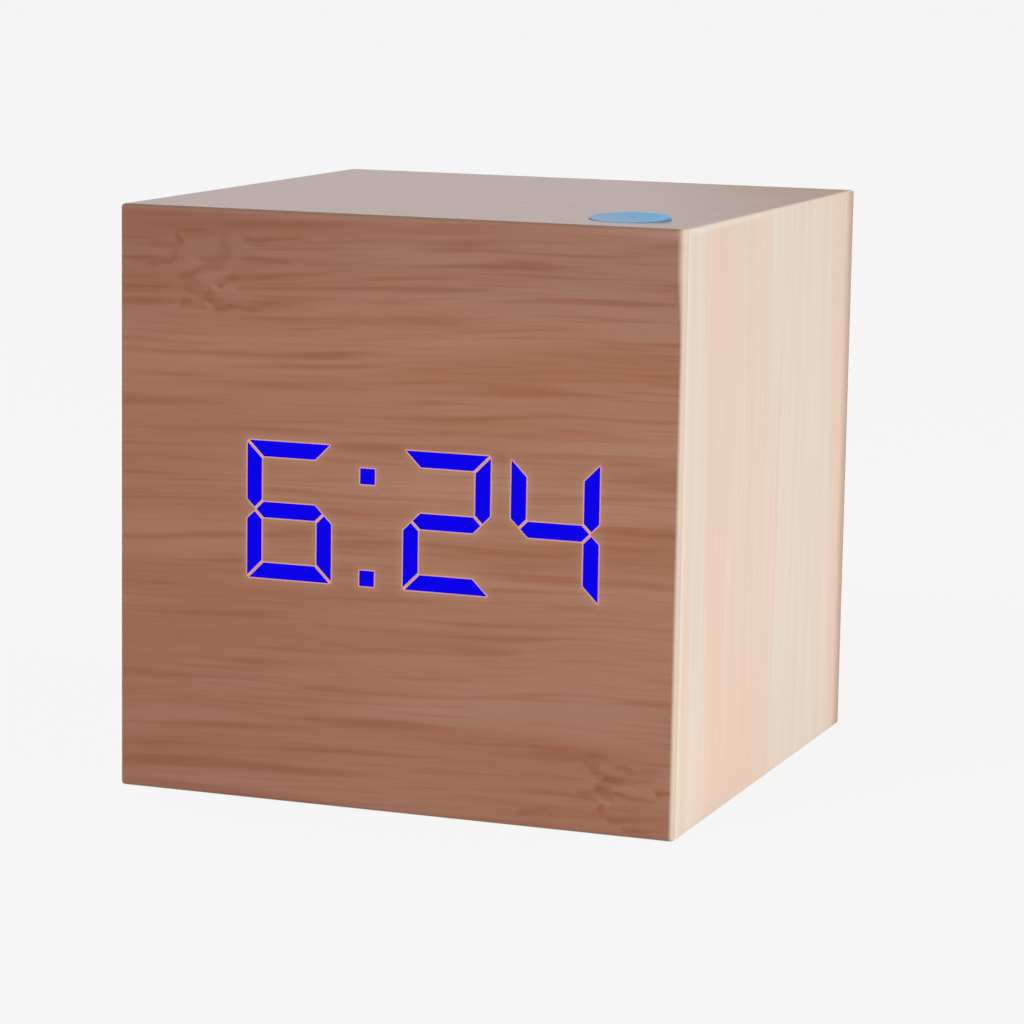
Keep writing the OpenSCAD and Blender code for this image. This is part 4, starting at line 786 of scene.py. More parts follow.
# Finishes with a function of their own
FINISHES = {
    "brown_front": lambda: brown_bamboo("brown_front", "XZY", front_wood),
    "brown_level": lambda: brown_bamboo("brown_level", "XYZ", level_wood),
    "pale_side": lambda: pale_bamboo("pale_side", "ZYX", (-30.0, 30.0), painted_light_and_brown_rear=True),
    "pale_core": lambda: pale_bamboo("pale_core", "XZY", (0.0, 60.0)),
    "segment_light": lit_segment,
    "top_key_plastic": top_key_blue,
    "lens_acrylic": clear_lens,
    "board_laminate": circuit_board,
    "cover_plastic": rear_cover_black,
    "cell_sleeve": cell_wrap,
    "rear_key_plastic": rear_key_grey,
    "cable_vinyl": flat_cable,
}


def mixed(name):
    """The finish of that name, made when it is first asked for."""
    if name in bpy.data.materials:
        return bpy.data.materials[name]
    if name in MOULDINGS:
        body, faded, gloss, depth = MOULDINGS[name]
        return moulded(name, shade(*body), shade(*faded), gloss, depth)
    if name in METALS:
        bright, dull, gloss = METALS[name]
        return bare_metal(name, shade(*bright), shade(*dull), gloss)
    return FINISHES[name]()


# Shapes, with sizes in millimetres

# Distance under which corners are merged, and length under which edges are dissolved
MERGED = 0.0002
NO_EDGE = 0.0001
# Angle in degrees above which an edge stays sharp
SHARP = 35.0


def box_mm(node):
    """Lowest and highest corner of a packed node, in millimetres."""
    return tuple(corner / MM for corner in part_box(node))


def settle(piece, finish, body, slot, *nodes):
    """Gives a piece its finish and its body, and hides the packed nodes that it stands for."""
    piece.data.materials.clear()
    piece.data.materials.append(mixed(finish))
    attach(piece, body)
    if nodes:
        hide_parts(*nodes)
    return piece


def dress(finish, *nodes):
    """Gives packed solids that show as they are their finish."""
    for node in nodes:
        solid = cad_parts[node]
        if not solid.material_slots:
            solid.data.materials.append(None)
        for place in solid.material_slots:
            place.material = mixed(finish)


def made(name, shapes):
    """One object from several closed shapes of (corners, faces), in millimetres."""
    work = bmesh.new()
    for corners, faces in shapes:
        placed = [work.verts.new(Vector(corner) * MM) for corner in corners]
        for face in faces:
            work.faces.new([placed[i] for i in face])
    bmesh.ops.remove_doubles(work, verts=work.verts, dist=MERGED * MM)
    bmesh.ops.dissolve_degenerate(work, edges=work.edges, dist=NO_EDGE * MM)
    bmesh.ops.recalc_face_normals(work, faces=work.faces)
    mesh = bpy.data.meshes.new(name)
    work.to_mesh(mesh)
    work.free()
    mesh.shade_smooth()
    mesh.set_sharp_from_angle(angle=math.radians(SHARP))
    piece = bpy.data.objects.new(name, mesh)
    bpy.context.scene.collection.objects.link(piece)
    return piece


def tag(piece, name, value_at):
    """Stores a value for each corner of a piece, worked out from its place in millimetres."""
    values = [value_at(v.co / MM) for v in piece.data.vertices]
    piece.data.attributes.new(name, "FLOAT", "POINT").data.foreach_set("value", values)


def band_faces(rings, count):
    """Faces of the bands between rings of corners that follow each other, each ring with that count."""
    faces = []
    for ring in range(rings - 1):
        for k in range(count):
            a, b = ring * count + k, ring * count + (k + 1) % count
            faces.append([a, b, b + count, a + count])
    return faces


def eased(points, steps=4):
    """A profile of (radius, height, easing) with each corner rounded by its easing."""
    out = []
    for i, (r, h, ease) in enumerate(points):
        here = Vector((r, h))
        if not ease or i in (0, len(points) - 1):
            out.append(here)
            continue
        before = Vector(points[i - 1][:2]) - here
        after = Vector(points[i + 1][:2]) - here
        start, end = here + before.normalized() * ease, here + after.normalized() * ease
        for k in range(steps + 1):
            t = k / steps
            out.append(start * (1 - t) ** 2 + here * 2 * t * (1 - t) + end * t * t)
    return out


def turned(profile, place, sides=48):
    """A profile of (radius, height) turned about Z and put in place by a matrix."""
    count = len(profile)
    corners, faces = [], []
    for s in range(sides):
        angle = 2 * math.pi * s / sides
        for r, h in profile:
            corners.append(place @ Vector((r * math.cos(angle), r * math.sin(angle), h)))
        for k in range(count - 1):
            a, b = s * count + k, (s + 1) % sides * count + k
            face = [a, b, b + 1, a + 1]
            if profile[k][0] == 0:
                face = [a, b + 1, a + 1]
            elif profile[k + 1][0] == 0:
                face = [a, b, a + 1]
            faces.append(face)
    return corners, faces


def prism(outline, place, low, high, ease):
    """An outline in X and Y raised from low to high, with a chamfer round its top."""
    count = len(outline)
    middle = sum((Vector(p) for p in outline), Vector((0, 0))) / count
    corners = []
    for height, inset in ((low, 0.0), (high - ease, 0.0), (high, ease)):
        for p in outline:
            inward = (middle - Vector(p)).normalized() * inset
            corners.append(place @ Vector((p[0] + inward.x, p[1] + inward.y, height)))
    ends = [list(range(count))[::-1], list(range(2 * count, 3 * count))]
    return corners, ends + band_faces(3, count)


def hung(y0, z0, y1, z1, sag, steps=28):
    """Points in Y and Z of a cable that hangs between two boards, level at both ends."""
    points = []
    for i in range(steps + 1):
        t = i / steps
        rise = (z1 - z0) * t * t * (3 - 2 * t)
        points.append(Vector((0, y0 + (y1 - y0) * t, z0 + rise - sag * math.sin(math.pi * t) ** 2)))
    return points


def swept(path, outline):
    """An outline of (X, thickness) carried along a path in Y and Z, closed at both ends."""
    count, rings = len(outline), len(path)
    corners = []
    for i, point in enumerate(path):
        ahead = (path[min(i + 1, rings - 1)] - path[max(i - 1, 0)]).normalized()
        up = ahead.cross(Vector((1, 0, 0))).normalized()
        corners += [point + Vector((x, 0, 0)) + up * t for x, t in outline]
    ends = [list(range(count)), list(range((rings - 1) * count, rings * count))[::-1]]
    return corners, band_faces(rings, count) + ends


def ring_outline(radius, sides):
    """Corners of a circle."""
    turns = [2 * math.pi * k / sides for k in range(sides)]
    return [(radius * math.cos(turn), radius * math.sin(turn)) for turn in turns]


def cored_outline(width, thickness, cores, web=0.3, steps=6):
    """Outline of a flat cable: round cores side by side, joined by thin webs."""
    pitch = width / cores
    top = []
    for core in range(cores):
        for k in range(steps + 1):
            u = math.cos(math.pi * (1 - k / steps))
            height = thickness / 2 * max(web, math.sqrt(max(0.0, 1 - u * u)))
            x = -width / 2 + pitch * (core + 0.5 + u / 2)
            if k or not core:
                top.append((x, height))
    return top + [(x, -h) for x, h in reversed(top)]


def grown(name, tree, settings):
    """A plain mesh grown by the Geometry Nodes tree of that name."""
    piece = bpy.data.objects.new(name, bpy.data.meshes.new(name))
    bpy.context.scene.collection.objects.link(piece)
    modifier = piece.modifiers.new(tree, "NODES")
    modifier.node_group = shared_tree(tree)
    for item in modifier.node_group.interface.items_tree:
        if item.in_out == "INPUT":
            modifier[item.identifier] = settings[item.name]
    shape = bpy.data.meshes.new_from_object(piece.evaluated_get(bpy.context.evaluated_depsgraph_get()))
    piece.modifiers.clear()
    piece.data = shape
    shape.name = name
    shape.shade_smooth()
    return piece


def stand_in_row(n, out, points, shape, turn, material):
    """Ends a tree: sets a shape on each point, turned, as plain faces with their material."""
    rotation = n.result("FunctionNodeEulerToRotation", {"Euler": turn})
    placed = n.result("GeometryNodeInstanceOnPoints", {
        "Points": points, "Instance": shape, "Rotation": rotation})
    real = n.result("GeometryNodeRealizeInstances", {"Geometry": placed})
    n.put(out["Geometry"], n.result("GeometryNodeSetMaterial", {"Geometry": real, "Material": material}))


def spring_row_tree():
    """Tapered coil springs in a row, each one turned to the other end of the tray."""
    tree, n, given, out = new_group("spring_row", "GeometryNodeTree", {
        "Count": 3, "First": ORIGIN, "Step": ORIGIN, "Across": 0.0, "Length": 0.003, "Wide": 0.0032,
        "Narrow": 0.0018, "Wire": 0.0005, "Turns": 2.0, "Material": None}, ("Geometry",))
    coil = n.result("GeometryNodeCurveSpiral", {
        "Resolution": 20, "Rotations": given["Turns"], "Start Radius": given["Wide"],
        "End Radius": given["Narrow"], "Height": n.math("SUBTRACT", given["Length"], given["Wire"])})
    wire_radius = n.times(given["Wire"], 0.5)
    section = n.result("GeometryNodeCurvePrimitiveCircle", {"Resolution": 8, "Radius": wire_radius})
    wire = n.result("GeometryNodeCurveToMesh", {"Curve": coil, "Profile Curve": section, "Fill Caps": True})
    lift = n.join(0.0, 0.0, wire_radius)
    wire = n.result("GeometryNodeSetPosition", {"Geometry": wire, "Offset": lift})
    line = n.result("GeometryNodeMeshLine", {
        "Count": given["Count"], "Start Location": given["First"], "Offset": given["Step"]})
    odd = n.math("MODULO", n.result("GeometryNodeInputIndex"), 2.0)
    shift = n.join(n.times(odd, given["Across"]), 0.0, 0.0)
    points = n.result("GeometryNodeSetPosition", {"Geometry": line, "Offset": shift})
    turn = n.join(0.0, n.math("MULTIPLY_ADD", odd, -2 * QUARTER, QUARTER), 0.0)
    stand_in_row(n, out, points, wire, turn, given["Material"])
    return tree


def bead_row_tree():
    """Long rounded beads in a row, for grip ridges and solder joints."""
    tree, n, given, out = new_group("bead_row", "GeometryNodeTree", {
        "Count": 5, "First": ORIGIN, "Step": ORIGIN, "Turn": ORIGIN, "Length": 0.01, "Radius": 0.0004,
        "Blunt": 0.4, "Material": None}, ("Geometry",))
    ball = n.result("GeometryNodeMeshUVSphere", {"Segments": 12, "Rings": 10, "Radius": 1.0})
    x, y, z = n.split(n.result("GeometryNodeInputPosition"))
    blunted = n.times(n.math("SIGN", z), n.math("POWER", n.math("ABSOLUTE", z), given["Blunt"]))
    drawn = n.join(n.times(x, given["Radius"]), n.times(y, given["Radius"]),
                   n.times(blunted, n.times(given["Length"], 0.5)))
    bead = n.result("GeometryNodeSetPosition", {"Geometry": ball, "Position": drawn})
    points = n.result("GeometryNodeMeshLine", {
        "Count": given["Count"], "Start Location": given["First"], "Offset": given["Step"]})
    stand_in_row(n, out, points, bead, given["Turn"], given["Material"])
    return tree


TREES = {
    "bamboo_grain": bamboo_grain_tree,
    "grain_stroke": grain_stroke_tree,
    "moulded_texture": moulded_texture_tree,
    "drawn_metal": drawn_metal_tree,
    "board_tracks": board_tracks_tree,
    "spring_row": spring_row_tree,
    "bead_row": bead_row_tree,
}


# Front veneer

# Corners this near the face of the front lie on it
ON_FACE = 0.001
# Radius of the eased edge and its steps, and the strip beside it that keeps the flat flat
EDGE_RADIUS = 0.4
EDGE_STEPS = 6
SUPPORT = 0.15
# Area of a stray sliver on the border, and the least distance of the triangulation
SLIVER = 1e-4
NEAREST = 1e-6
# Steps of the outlines and of the field
CHAIN_STEP = 0.6
FIELD_STEP = 3.0
# Distances of the rings of points in the glow, and how far a point may miss its own, as a part of it
GLOW_RINGS = (0.13, 0.27, 0.6, 1.1, 1.7)
RING_MISS = 0.2


def segment_loops():
    """Outlines of the lit segments on the face of the front, as (x, z) in millimetres."""
    work = bmesh.new()
    work.from_mesh(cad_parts["lit_segments"].data)
    bmesh.ops.remove_doubles(work, verts=work.verts, dist=MERGED * MM)
    face_y = min(v.co.y for v in work.verts)
    flat = {f for f in work.faces if all(abs(v.co.y - face_y) < ON_FACE * MM for v in f.verts)}
    after = {}
    for face in flat:
        for loop in face.loops:
            if sum(other in flat for other in loop.edge.link_faces) == 1:
                after[loop.vert] = loop.link_loop_next.vert
    loops = []
    while after:
        first = min(after, key=lambda v: v.index)
        chain = [first]
        while (following := after.pop(chain[-1])) is not first:
            chain.append(following)
        loops.append([Vector((v.co.x, v.co.z)) / MM for v in chain])
    work.free()
    return loops


def chained(loop, step):
    """A closed outline with points no further apart than a step."""
    out = []
    for a, b in zip(loop, loop[1:] + loop[:1]):
        parts = max(1, math.ceil((b - a).length / step))
        out += [a.lerp(b, k / parts) for k in range(parts)]
    return out


class Outlines:
    """Distances from points to the edges of the lit segments."""

    def __init__(self, loops):
        self.loops = [np.array(loop) for loop in loops]
        self.starts = np.concatenate(self.loops)
        self.ends = np.concatenate([np.roll(loop, -1, 0) for loop in self.loops])

    def distance(self, point):
        """From a point to the nearest edge."""
        along, spot = self.ends - self.starts, np.array(point)
        t = np.clip(((spot - self.starts) * along).sum(1) / (along * along).sum(1), 0, 1)
        return float(np.linalg.norm(self.starts + along * t[:, None] - spot, axis=1).min())

    def covers(self, point):
        """Whether a point lies in a segment."""
        for loop in self.loops:
            a, b = loop, np.roll(loop, -1, 0)
            with np.errstate(divide="ignore", invalid="ignore"):
                cut = a[:, 0] + (point[1] - a[:, 1]) / (b[:, 1] - a[:, 1]) * (b[:, 0] - a[:, 0])
            if (((a[:, 1] > point[1]) != (b[:, 1] > point[1])) & (point[0] < cut)).sum() % 2:
                return True
        return False


def rim_points(low, high, per_side=30, arc=5):
    """Points round the flat of the front, each with the way that the eased edge leaves it."""
    square = [Vector(p) for p in ((low.x, low.y), (high.x, low.y), (high.x, high.y), (low.x, high.y))]
    outward = [Vector(p) for p in ((0, -1), (1, 0), (0, 1), (-1, 0))]
    points = []
    for side in range(4):
        start, end = square[side], square[(side + 1) % 4]
        for k in range(arc + 1):
            turn = QUARTER * k / arc
            points.append((start, outward[side - 1] * math.cos(turn) + outward[side] * math.sin(turn)))
        for k in range(1, per_side):
            points.append((start.lerp(end, k / per_side), outward[side]))
    return points


def border(rim):
    """The points of a rim, each one once."""
    return [base for k, (base, _) in enumerate(rim) if base != rim[k - 1][0]]


class Sheet:
    """A flat sheet in X and Z, triangulated between outlines and loose points."""

    def __init__(self):
        self.spots, self.edges = [], []

    def outline(self, points):
        """Adds a closed outline."""
        first, count = len(self.spots), len(points)
        self.spots += points
        self.edges += [(first + k, first + (k + 1) % count) for k in range(count)]

    def shape(self, outlines, y):
        """Corners and faces of the sheet at that Y, with the segments left open."""
        points, _, faces = delaunay_2d_cdt(self.spots, self.edges, [], 0, NEAREST)[:3]
        kept = []
        for face in faces:
            a, b, c = (points[i] for i in face)
            if abs((b - a).cross(c - a)) > 2 * SLIVER and not outlines.covers((a + b + c) / 3):
                kept.append(face)
        return [Vector((p.x, y, p.y)) for p in points], kept


def glow_spots(chains, outlines):
    """Points at set distances round the lit segments, where the glow on the wood changes."""
    spots = {}
    for away in GLOW_RINGS:
        step = max(CHAIN_STEP, away) / 2
        for chain in chains:
            for k, here in enumerate(chain):
                ahead = (chain[(k + 1) % len(chain)] - chain[k - 1]).normalized()
                spot = here + Vector((ahead.y, -ahead.x)) * away
                near = abs(outlines.distance(spot) - away) < RING_MISS * away
                if near and not outlines.covers(spot):
                    spots[(away, round(spot.x / step), round(spot.y / step))] = spot
    return list(spots.values())


def veneer_face(flat_low, flat_high, chains, outlines):
    """The flat face, with points for its glow and its field."""
    face = Sheet()
    support = Vector((SUPPORT, SUPPORT))
    face.outline(border(rim_points(flat_low, flat_high)))
    face.outline(border(rim_points(flat_low + support, flat_high - support)))
    for chain in chains:
        face.outline(chain)
    face.spots += glow_spots(chains, outlines)
    for x in np.arange(flat_low.x + FIELD_STEP, flat_high.x - SUPPORT, FIELD_STEP):
        for z in np.arange(flat_low.y + FIELD_STEP, flat_high.y - SUPPORT, FIELD_STEP):
            if outlines.distance((x, z)) > FIELD_STEP and not outlines.covers((x, z)):
                face.spots.append(Vector((x, z)))
    return face


def eased_edge(rim, front_y, back_y):
    """The eased edge round the flat, from the face to the back."""
    rings = []
    for j in range(EDGE_STEPS + 1):
        turn = QUARTER * j / EDGE_STEPS
        rings.append((EDGE_RADIUS * math.sin(turn), front_y + EDGE_RADIUS * (1 - math.cos(turn))))
    rings.append((EDGE_RADIUS, back_y))
    corners = []
    for reach, y in rings:
        for base, way in rim:
            spot = base + way * reach
            corners.append((spot.x, y, spot.y))
    return corners, band_faces(len(rings), len(rim))


def cut_walls(chains, front_y, back_y):
    """Walls of the cuts round the lit segments, from the face to the back."""
    corners, faces = [], []
    for chain in chains:
        first, around = len(corners), len(chain)
        for spot in chain:
            corners += [(spot.x, front_y, spot.y), (spot.x, back_y, spot.y)]
        for k in range(around):
            a, b = first + 2 * k, first + 2 * ((k + 1) % around)
            faces.append([a, b, b + 1, a + 1])
    return corners, faces


def veneer_shapes():
    """Flat face with the lit segments cut out, eased edge, back, and the walls of the cuts."""
    low, high = box_mm("front_veneer")
    edge = Vector((1, 1)) * EDGE_RADIUS
    flat_low, flat_high = low.xz + edge, high.xz - edge
    loops = segment_loops()
    outlines = Outlines(loops)
    chains = [chained(loop, CHAIN_STEP) for loop in loops]
    face = veneer_face(flat_low, flat_high, chains, outlines)
    rim = rim_points(flat_low, flat_high)
    corners, faces = eased_edge(rim, low.y, high.y)
    back = Sheet()
    back.outline([Vector((x, z)) for x, _, z in corners[-len(rim):]])
    for chain in chains:
        back.outline(chain)
    return outlines, [
        face.shape(outlines, low.y), (corners, faces), back.shape(outlines, high.y),
        cut_walls(chains, low.y, high.y)]


# Operators, with sizes in millimetres

class CLOCK_OT_case_boards(Operator):
    """Gives the boards of the case and its glue blocks their bamboo"""
    bl_idname = "clock.case_boards"
    bl_label = "Case boards"

    def execute(self, context):
        dress("brown_level", "top_board", "bottom_board")
        dress("pale_side", "left_board", "right_board")
        dress("pale_core", "front_board", "corner_blocks")
        return {"FINISHED"}


class CLOCK_OT_display(Operator):
    """Gives the display and the components on its board their light, plastics and metal"""
    bl_idname = "clock.display"
    bl_label = "Display"

    def execute(self, context):
        dress("segment_light", "lit_segments")
        dress("mask_plastic", "segment_mask")
        dress("lens_acrylic", "segment_lenses")
        dress("led_resin", "segment_leds")
        dress("board_laminate", "display_board")
        dress("spacer_nylon", "board_spacers")
        dress("screw_zinc", "board_screws")
        dress("component_epoxy", "controller_chip", "buzzer", "segment_resistors")
        dress("switch_steel", "crystal")
        dress("capacitor_wrap", "capacitor")
        return {"FINISHED"}


class CLOCK_OT_controls(Operator):
    """Gives the switches, their plungers and the small boards their plastics and metal"""
    bl_idname = "clock.controls"
    bl_label = "Controls"

    def execute(self, context):
        dress("plunger_plastic",
              "snooze_plunger", "set_plunger", "up_plunger", "down_plunger", "sound_lever")
        dress("switch_steel", "snooze_switch", "key_switches", "sound_switch", "inlet_shell")
        dress("board_laminate", "control_board", "inlet_board")
        dress("component_epoxy", "inlet_tongue", "microphone")
        dress("screw_zinc", "small_screws")
        return {"FINISHED"}


class CLOCK_OT_rear_cover(Operator):
    """Gives the rear cover, its door and the battery contacts their plastic and metal"""
    bl_idname = "clock.rear_cover"
    bl_label = "Rear cover"

    def execute(self, context):
        dress("cover_plastic", "rear_cover", "battery_door", "door_latch")
        dress("contact_plating", "contact_plates")
        dress("screw_zinc", "cover_screws")
        return {"FINISHED"}


class CLOCK_OT_veneer(Operator):
    """Cuts the front veneer round the lit segments and eases its edge"""
    bl_idname = "clock.veneer"
    bl_label = "Front veneer"

    def execute(self, context):
        outlines, shapes = veneer_shapes()
        veneer = made("veneer", shapes)
        tag(veneer, "glow_distance", lambda p: outlines.distance(p.xz) * MM)
        settle(veneer, "brown_front", "case", "brown_bamboo", "front_veneer")
        return {"FINISHED"}


# All keys: width of the flange beyond the cap, and its thickness
KEY_LIP = 0.5
FLANGE_T = 0.8
# Easing of a key's edges, of the corner above its flange, and of the end of the top key's stem
KEY_EASE = 0.1
KEY_CORNER_EASE = 0.05
STEM_EASE = 0.15
# The top key: its stem, the height of its front above the board, its rim and its dish
STEM_R = 1.7
TOP_KEY_FRONT = 0.05
TOP_KEY_RIM = 0.3
TOP_KEY_DISH = 0.15
TOP_KEY_EASE = 0.12
# Where the dish meets the rim, from the rim inward and as a part of the dish's depth
DISH_LIP = 0.5
DISH_LIP_DEPTH = 0.25
DISH_STEPS = 14
# Height above the flange where the side of the cap has a ring, and above which the cap is sloped
CAP_RING = 1.0
SLOPE_START = 1.5
TOP_KEY_SIDES = 96


class CLOCK_OT_top_key(Operator):
    """Turns the top key with its flange and stem, and slopes its dished face to the front"""
    bl_idname = "clock.top_key"
    bl_label = "Top key"

    def execute(self, context):
        low, high = box_mm("snooze_key")
        board_low, board_high = box_mm("top_board")
        seat, front_z = board_low.z, board_high.z + TOP_KEY_FRONT
        flange_r = (high.x - low.x) / 2
        r = flange_r - KEY_LIP
        dish_r = r - TOP_KEY_RIM
        ball = (dish_r ** 2 + TOP_KEY_DISH ** 2) / (2 * TOP_KEY_DISH)
        profile = eased([
            (0, low.z, 0), (STEM_R, low.z, STEM_EASE), (STEM_R, seat - FLANGE_T, KEY_EASE),
            (flange_r, seat - FLANGE_T, KEY_EASE), (flange_r, seat, KEY_EASE), (r, seat, KEY_CORNER_EASE),
            (r, seat + CAP_RING, 0), (r, high.z, TOP_KEY_EASE), (dish_r, high.z, TOP_KEY_EASE),
            (dish_r - DISH_LIP, high.z - TOP_KEY_DISH * DISH_LIP_DEPTH, 0)])
        for k in range(1, DISH_STEPS + 1):
            reach = (dish_r - DISH_LIP) * (1 - k / DISH_STEPS)
            dish_z = high.z - TOP_KEY_DISH + ball - math.sqrt(ball ** 2 - reach ** 2)
            profile.append(Vector((reach, dish_z)))
        corners, faces = turned(profile, Matrix(), TOP_KEY_SIDES)
        slope = (high.z - front_z) / (2 * r)
        for corner in corners:
            if corner.z > seat + SLOPE_START:
                corner.z += (corner.y - r) * slope
        place = Vector(((low.x + high.x) / 2, (low.y + high.y) / 2, 0))
        key = made("top_key", [([corner + place for corner in corners], faces)])
        settle(key, "top_key_plastic", "snooze_button", "key_blue", "snooze_key")
        return {"FINISHED"}


# Rear keys: the rim with its easing and width, how far its inner edge and the mark lie under its top, the
# depth of the dish, and the marks, as (across, down) from the middle of the key
REAR_RIM_EASE = 0.35
REAR_RIM = 0.6
REAR_RIM_INNER_EASE = 0.2
REAR_RIM_DROP = 0.02
REAR_KEY_DISH = 0.15
MARK_EASE = 0.06
REAR_MARKS = {
    "set": ((-0.8, -0.18), (0.8, -0.18), (0.8, 0.18), (-0.8, 0.18)),
    "up": ((-0.8, 0.5), (0.0, -0.8), (0.8, 0.5)),
    "down": ((-0.8, -0.5), (0.8, -0.5), (0.0, 0.8)),
}
INTO_REAR = Matrix.Rotation(-QUARTER, 4, "X")


class CLOCK_OT_rear_keys(Operator):
    """Turns the three rear keys and raises a mark on each"""
    bl_idname = "clock.rear_keys"
    bl_label = "Rear keys"

    def execute(self, context):
        for name, outline in REAR_MARKS.items():
            low, high = box_mm(name + "_key")
            flange_r = (high.x - low.x) / 2
            r = flange_r - KEY_LIP
            rim_inner = high.y - REAR_RIM_DROP
            place = Matrix.Translation(((low.x + high.x) / 2, 0, (low.z + high.z) / 2)) @ INTO_REAR
            profile = eased([
                (0, low.y, 0), (flange_r, low.y, KEY_EASE), (flange_r, low.y + FLANGE_T, KEY_EASE),
                (r, low.y + FLANGE_T, KEY_CORNER_EASE), (r, high.y, REAR_RIM_EASE),
                (r - REAR_RIM, rim_inner, REAR_RIM_INNER_EASE), (0, high.y - REAR_KEY_DISH, 0)])
            mark = prism(outline, place, high.y - 2 * REAR_KEY_DISH, rim_inner, MARK_EASE)
            key = made(name + "_cap", [turned(profile, place), mark])
            settle(key, "rear_key_plastic", name + "_button", "key_grey", name + "_key")
        return {"FINISHED"}


# Profile of a cell from its cap to its flat end: radius, distance from the nearer end, easing. Radii of the
# cap are counted from the axis, the others inward from the side of the cell.
CELL_CAP = ((0, 0, 0), (1.9, 0, 0.35), (1.9, 0.9, 0.2))
CELL_SHOULDER = ((1.2, 0.9, 0.1), (1.1, 0.75, 0.08), (0.5, 0.75, 0.2), (0, 1.4, 0.3))
CELL_FLAT_END = ((0, 0.6, 0.3), (0.5, 0, 0.2), (1.5, 0, 0.1), (1.7, 0.15, 0.1))
CELL_DIMPLE = 0.15
CELL_SIDES = 40
# Rows of the tray from the bottom: place from the middle one, and the side that the cap is on
CELL_ROWS = ((-1, 1), (0, -1), (1, 1))
# Room for a spring at the flat end of a cell
CELL_SPRING = 3.0


class CLOCK_OT_cells(Operator):
    """Turns the three cells, laid head to tail"""
    bl_idname = "clock.cells"
    bl_label = "Cells"

    def execute(self, context):
        low, high = box_mm("battery_cells")
        r = (high.y - low.y) / 2
        long = high.x - low.x - CELL_SPRING
        shoulder = [(r - inward, h, ease) for inward, h, ease in CELL_SHOULDER]
        flat_end = [(r - inward, long - h, ease) for inward, h, ease in CELL_FLAT_END]
        profile = eased([*CELL_CAP, *shoulder, *flat_end, (0, long - CELL_DIMPLE, 0)])
        middle = (low.z + high.z) / 2
        pitch = (high.z - low.z) / 2 - r
        shapes = []
        for row, side in CELL_ROWS:
            place = Matrix.Translation((side * high.x, (low.y + high.y) / 2, middle + row * pitch))
            shapes.append(turned(profile, place @ Matrix.Rotation(-QUARTER * side, 4, "Y"), CELL_SIDES))
        cells = made("cells", shapes)

        def along(p):
            side = -1 if abs(p.z - middle) < pitch / 2 else 1
            return 1 - (high.x - side * p.x) / long

        tag(cells, "cell_along", along)
        settle(cells, "cell_sleeve", "case", "cell_wrap", "battery_cells")
        return {"FINISHED"}


SPRING_WIRE = 0.5
SPRING_TIP_R = 1.8
SPRING_TURNS = 3.0


class CLOCK_OT_springs(Operator):
    """Coils the contact springs against their plates"""
    bl_idname = "clock.springs"
    bl_label = "Contact springs"

    def execute(self, context):
        low, high = box_mm("contact_springs")
        cells_low, cells_high = box_mm("battery_cells")
        r = (cells_high.y - cells_low.y) / 2
        wide = (high.y - low.y - SPRING_WIRE) / 2
        first = Vector((low.x, (cells_low.y + cells_high.y) / 2, cells_low.z + r))
        springs = grown("coil_springs", "spring_row", {
            "Count": len(CELL_ROWS), "First": first * MM,
            "Step": Vector((0, 0, (cells_high.z - cells_low.z) / 2 - r)) * MM,
            "Across": (high.x - low.x) * MM, "Length": CELL_SPRING * MM, "Wide": wide * MM,
            "Narrow": SPRING_TIP_R * MM, "Wire": SPRING_WIRE * MM, "Turns": SPRING_TURNS,
            "Material": mixed("contact_plating")})
        settle(springs, "contact_plating", "case", "contact_nickel", "contact_springs")
        return {"FINISHED"}


LEAD_SIDES = 12


class CLOCK_OT_leads(Operator):
    """Hangs the two battery leads between the tray and the display board"""
    bl_idname = "clock.leads"
    bl_label = "Battery leads"

    def execute(self, context):
        for name, colour_name in (("positive_lead", "red"), ("negative_lead", "black")):
            low, high = box_mm(name)
            r = (high.x - low.x) / 2
            z, end = high.z - r, 2 * r
            path = hung(high.y - end, z, low.y + end, z, high.z - low.z - 2 * r)
            path = [Vector((0, high.y, z)), *path, Vector((0, low.y, z))]
            middle = Vector(((low.x + high.x) / 2, 0, 0))
            lead = made(name + "_wire", [swept([p + middle for p in path], ring_outline(r, LEAD_SIDES))])
            settle(lead, colour_name + "_insulation", "case", "lead_" + colour_name, name)
        return {"FINISHED"}


CABLE_T = 0.8
CABLE_SAG = 2.5
# Part of the first core's width that is marked
FIRST_CORE = 0.99


class CLOCK_OT_flat_cables(Operator):
    """Hangs the two flat cables between the boards"""
    bl_idname = "clock.flat_cables"
    bl_label = "Flat cables"

    def execute(self, context):
        for name, board in (("control_ribbon", "control_board"), ("inlet_ribbon", "inlet_board")):
            low, high = box_mm(name)
            board_low, board_high = box_mm(board)
            width = high.x - low.x
            path = hung(high.y, (board_low.z + board_high.z) / 2, low.y, high.z - CABLE_T / 2, CABLE_SAG)
            cores = round(width)
            cable = made(name + "_cable", [swept(path, cored_outline(width, CABLE_T, cores))])
            tag(cable, "first_core", lambda p: float(p.x < low.x + FIRST_CORE * width / cores))
            settle(cable, "cable_vinyl", "case", "ribbon_grey", name)
        return {"FINISHED"}


# Ridges on the door: their length, how deep they sit, and how blunt their ends are
DOOR_GRIP = 15.0
DOOR_GRIP_SUNK = 0.1
DOOR_GRIP_BLUNT = 0.4
# Ridges on the lever: their radius as a part of their step, and how blunt their ends are
LEVER_RIDGES = 3
LEVER_RIDGE_R = 0.4
LEVER_GRIP_BLUNT = 0.3


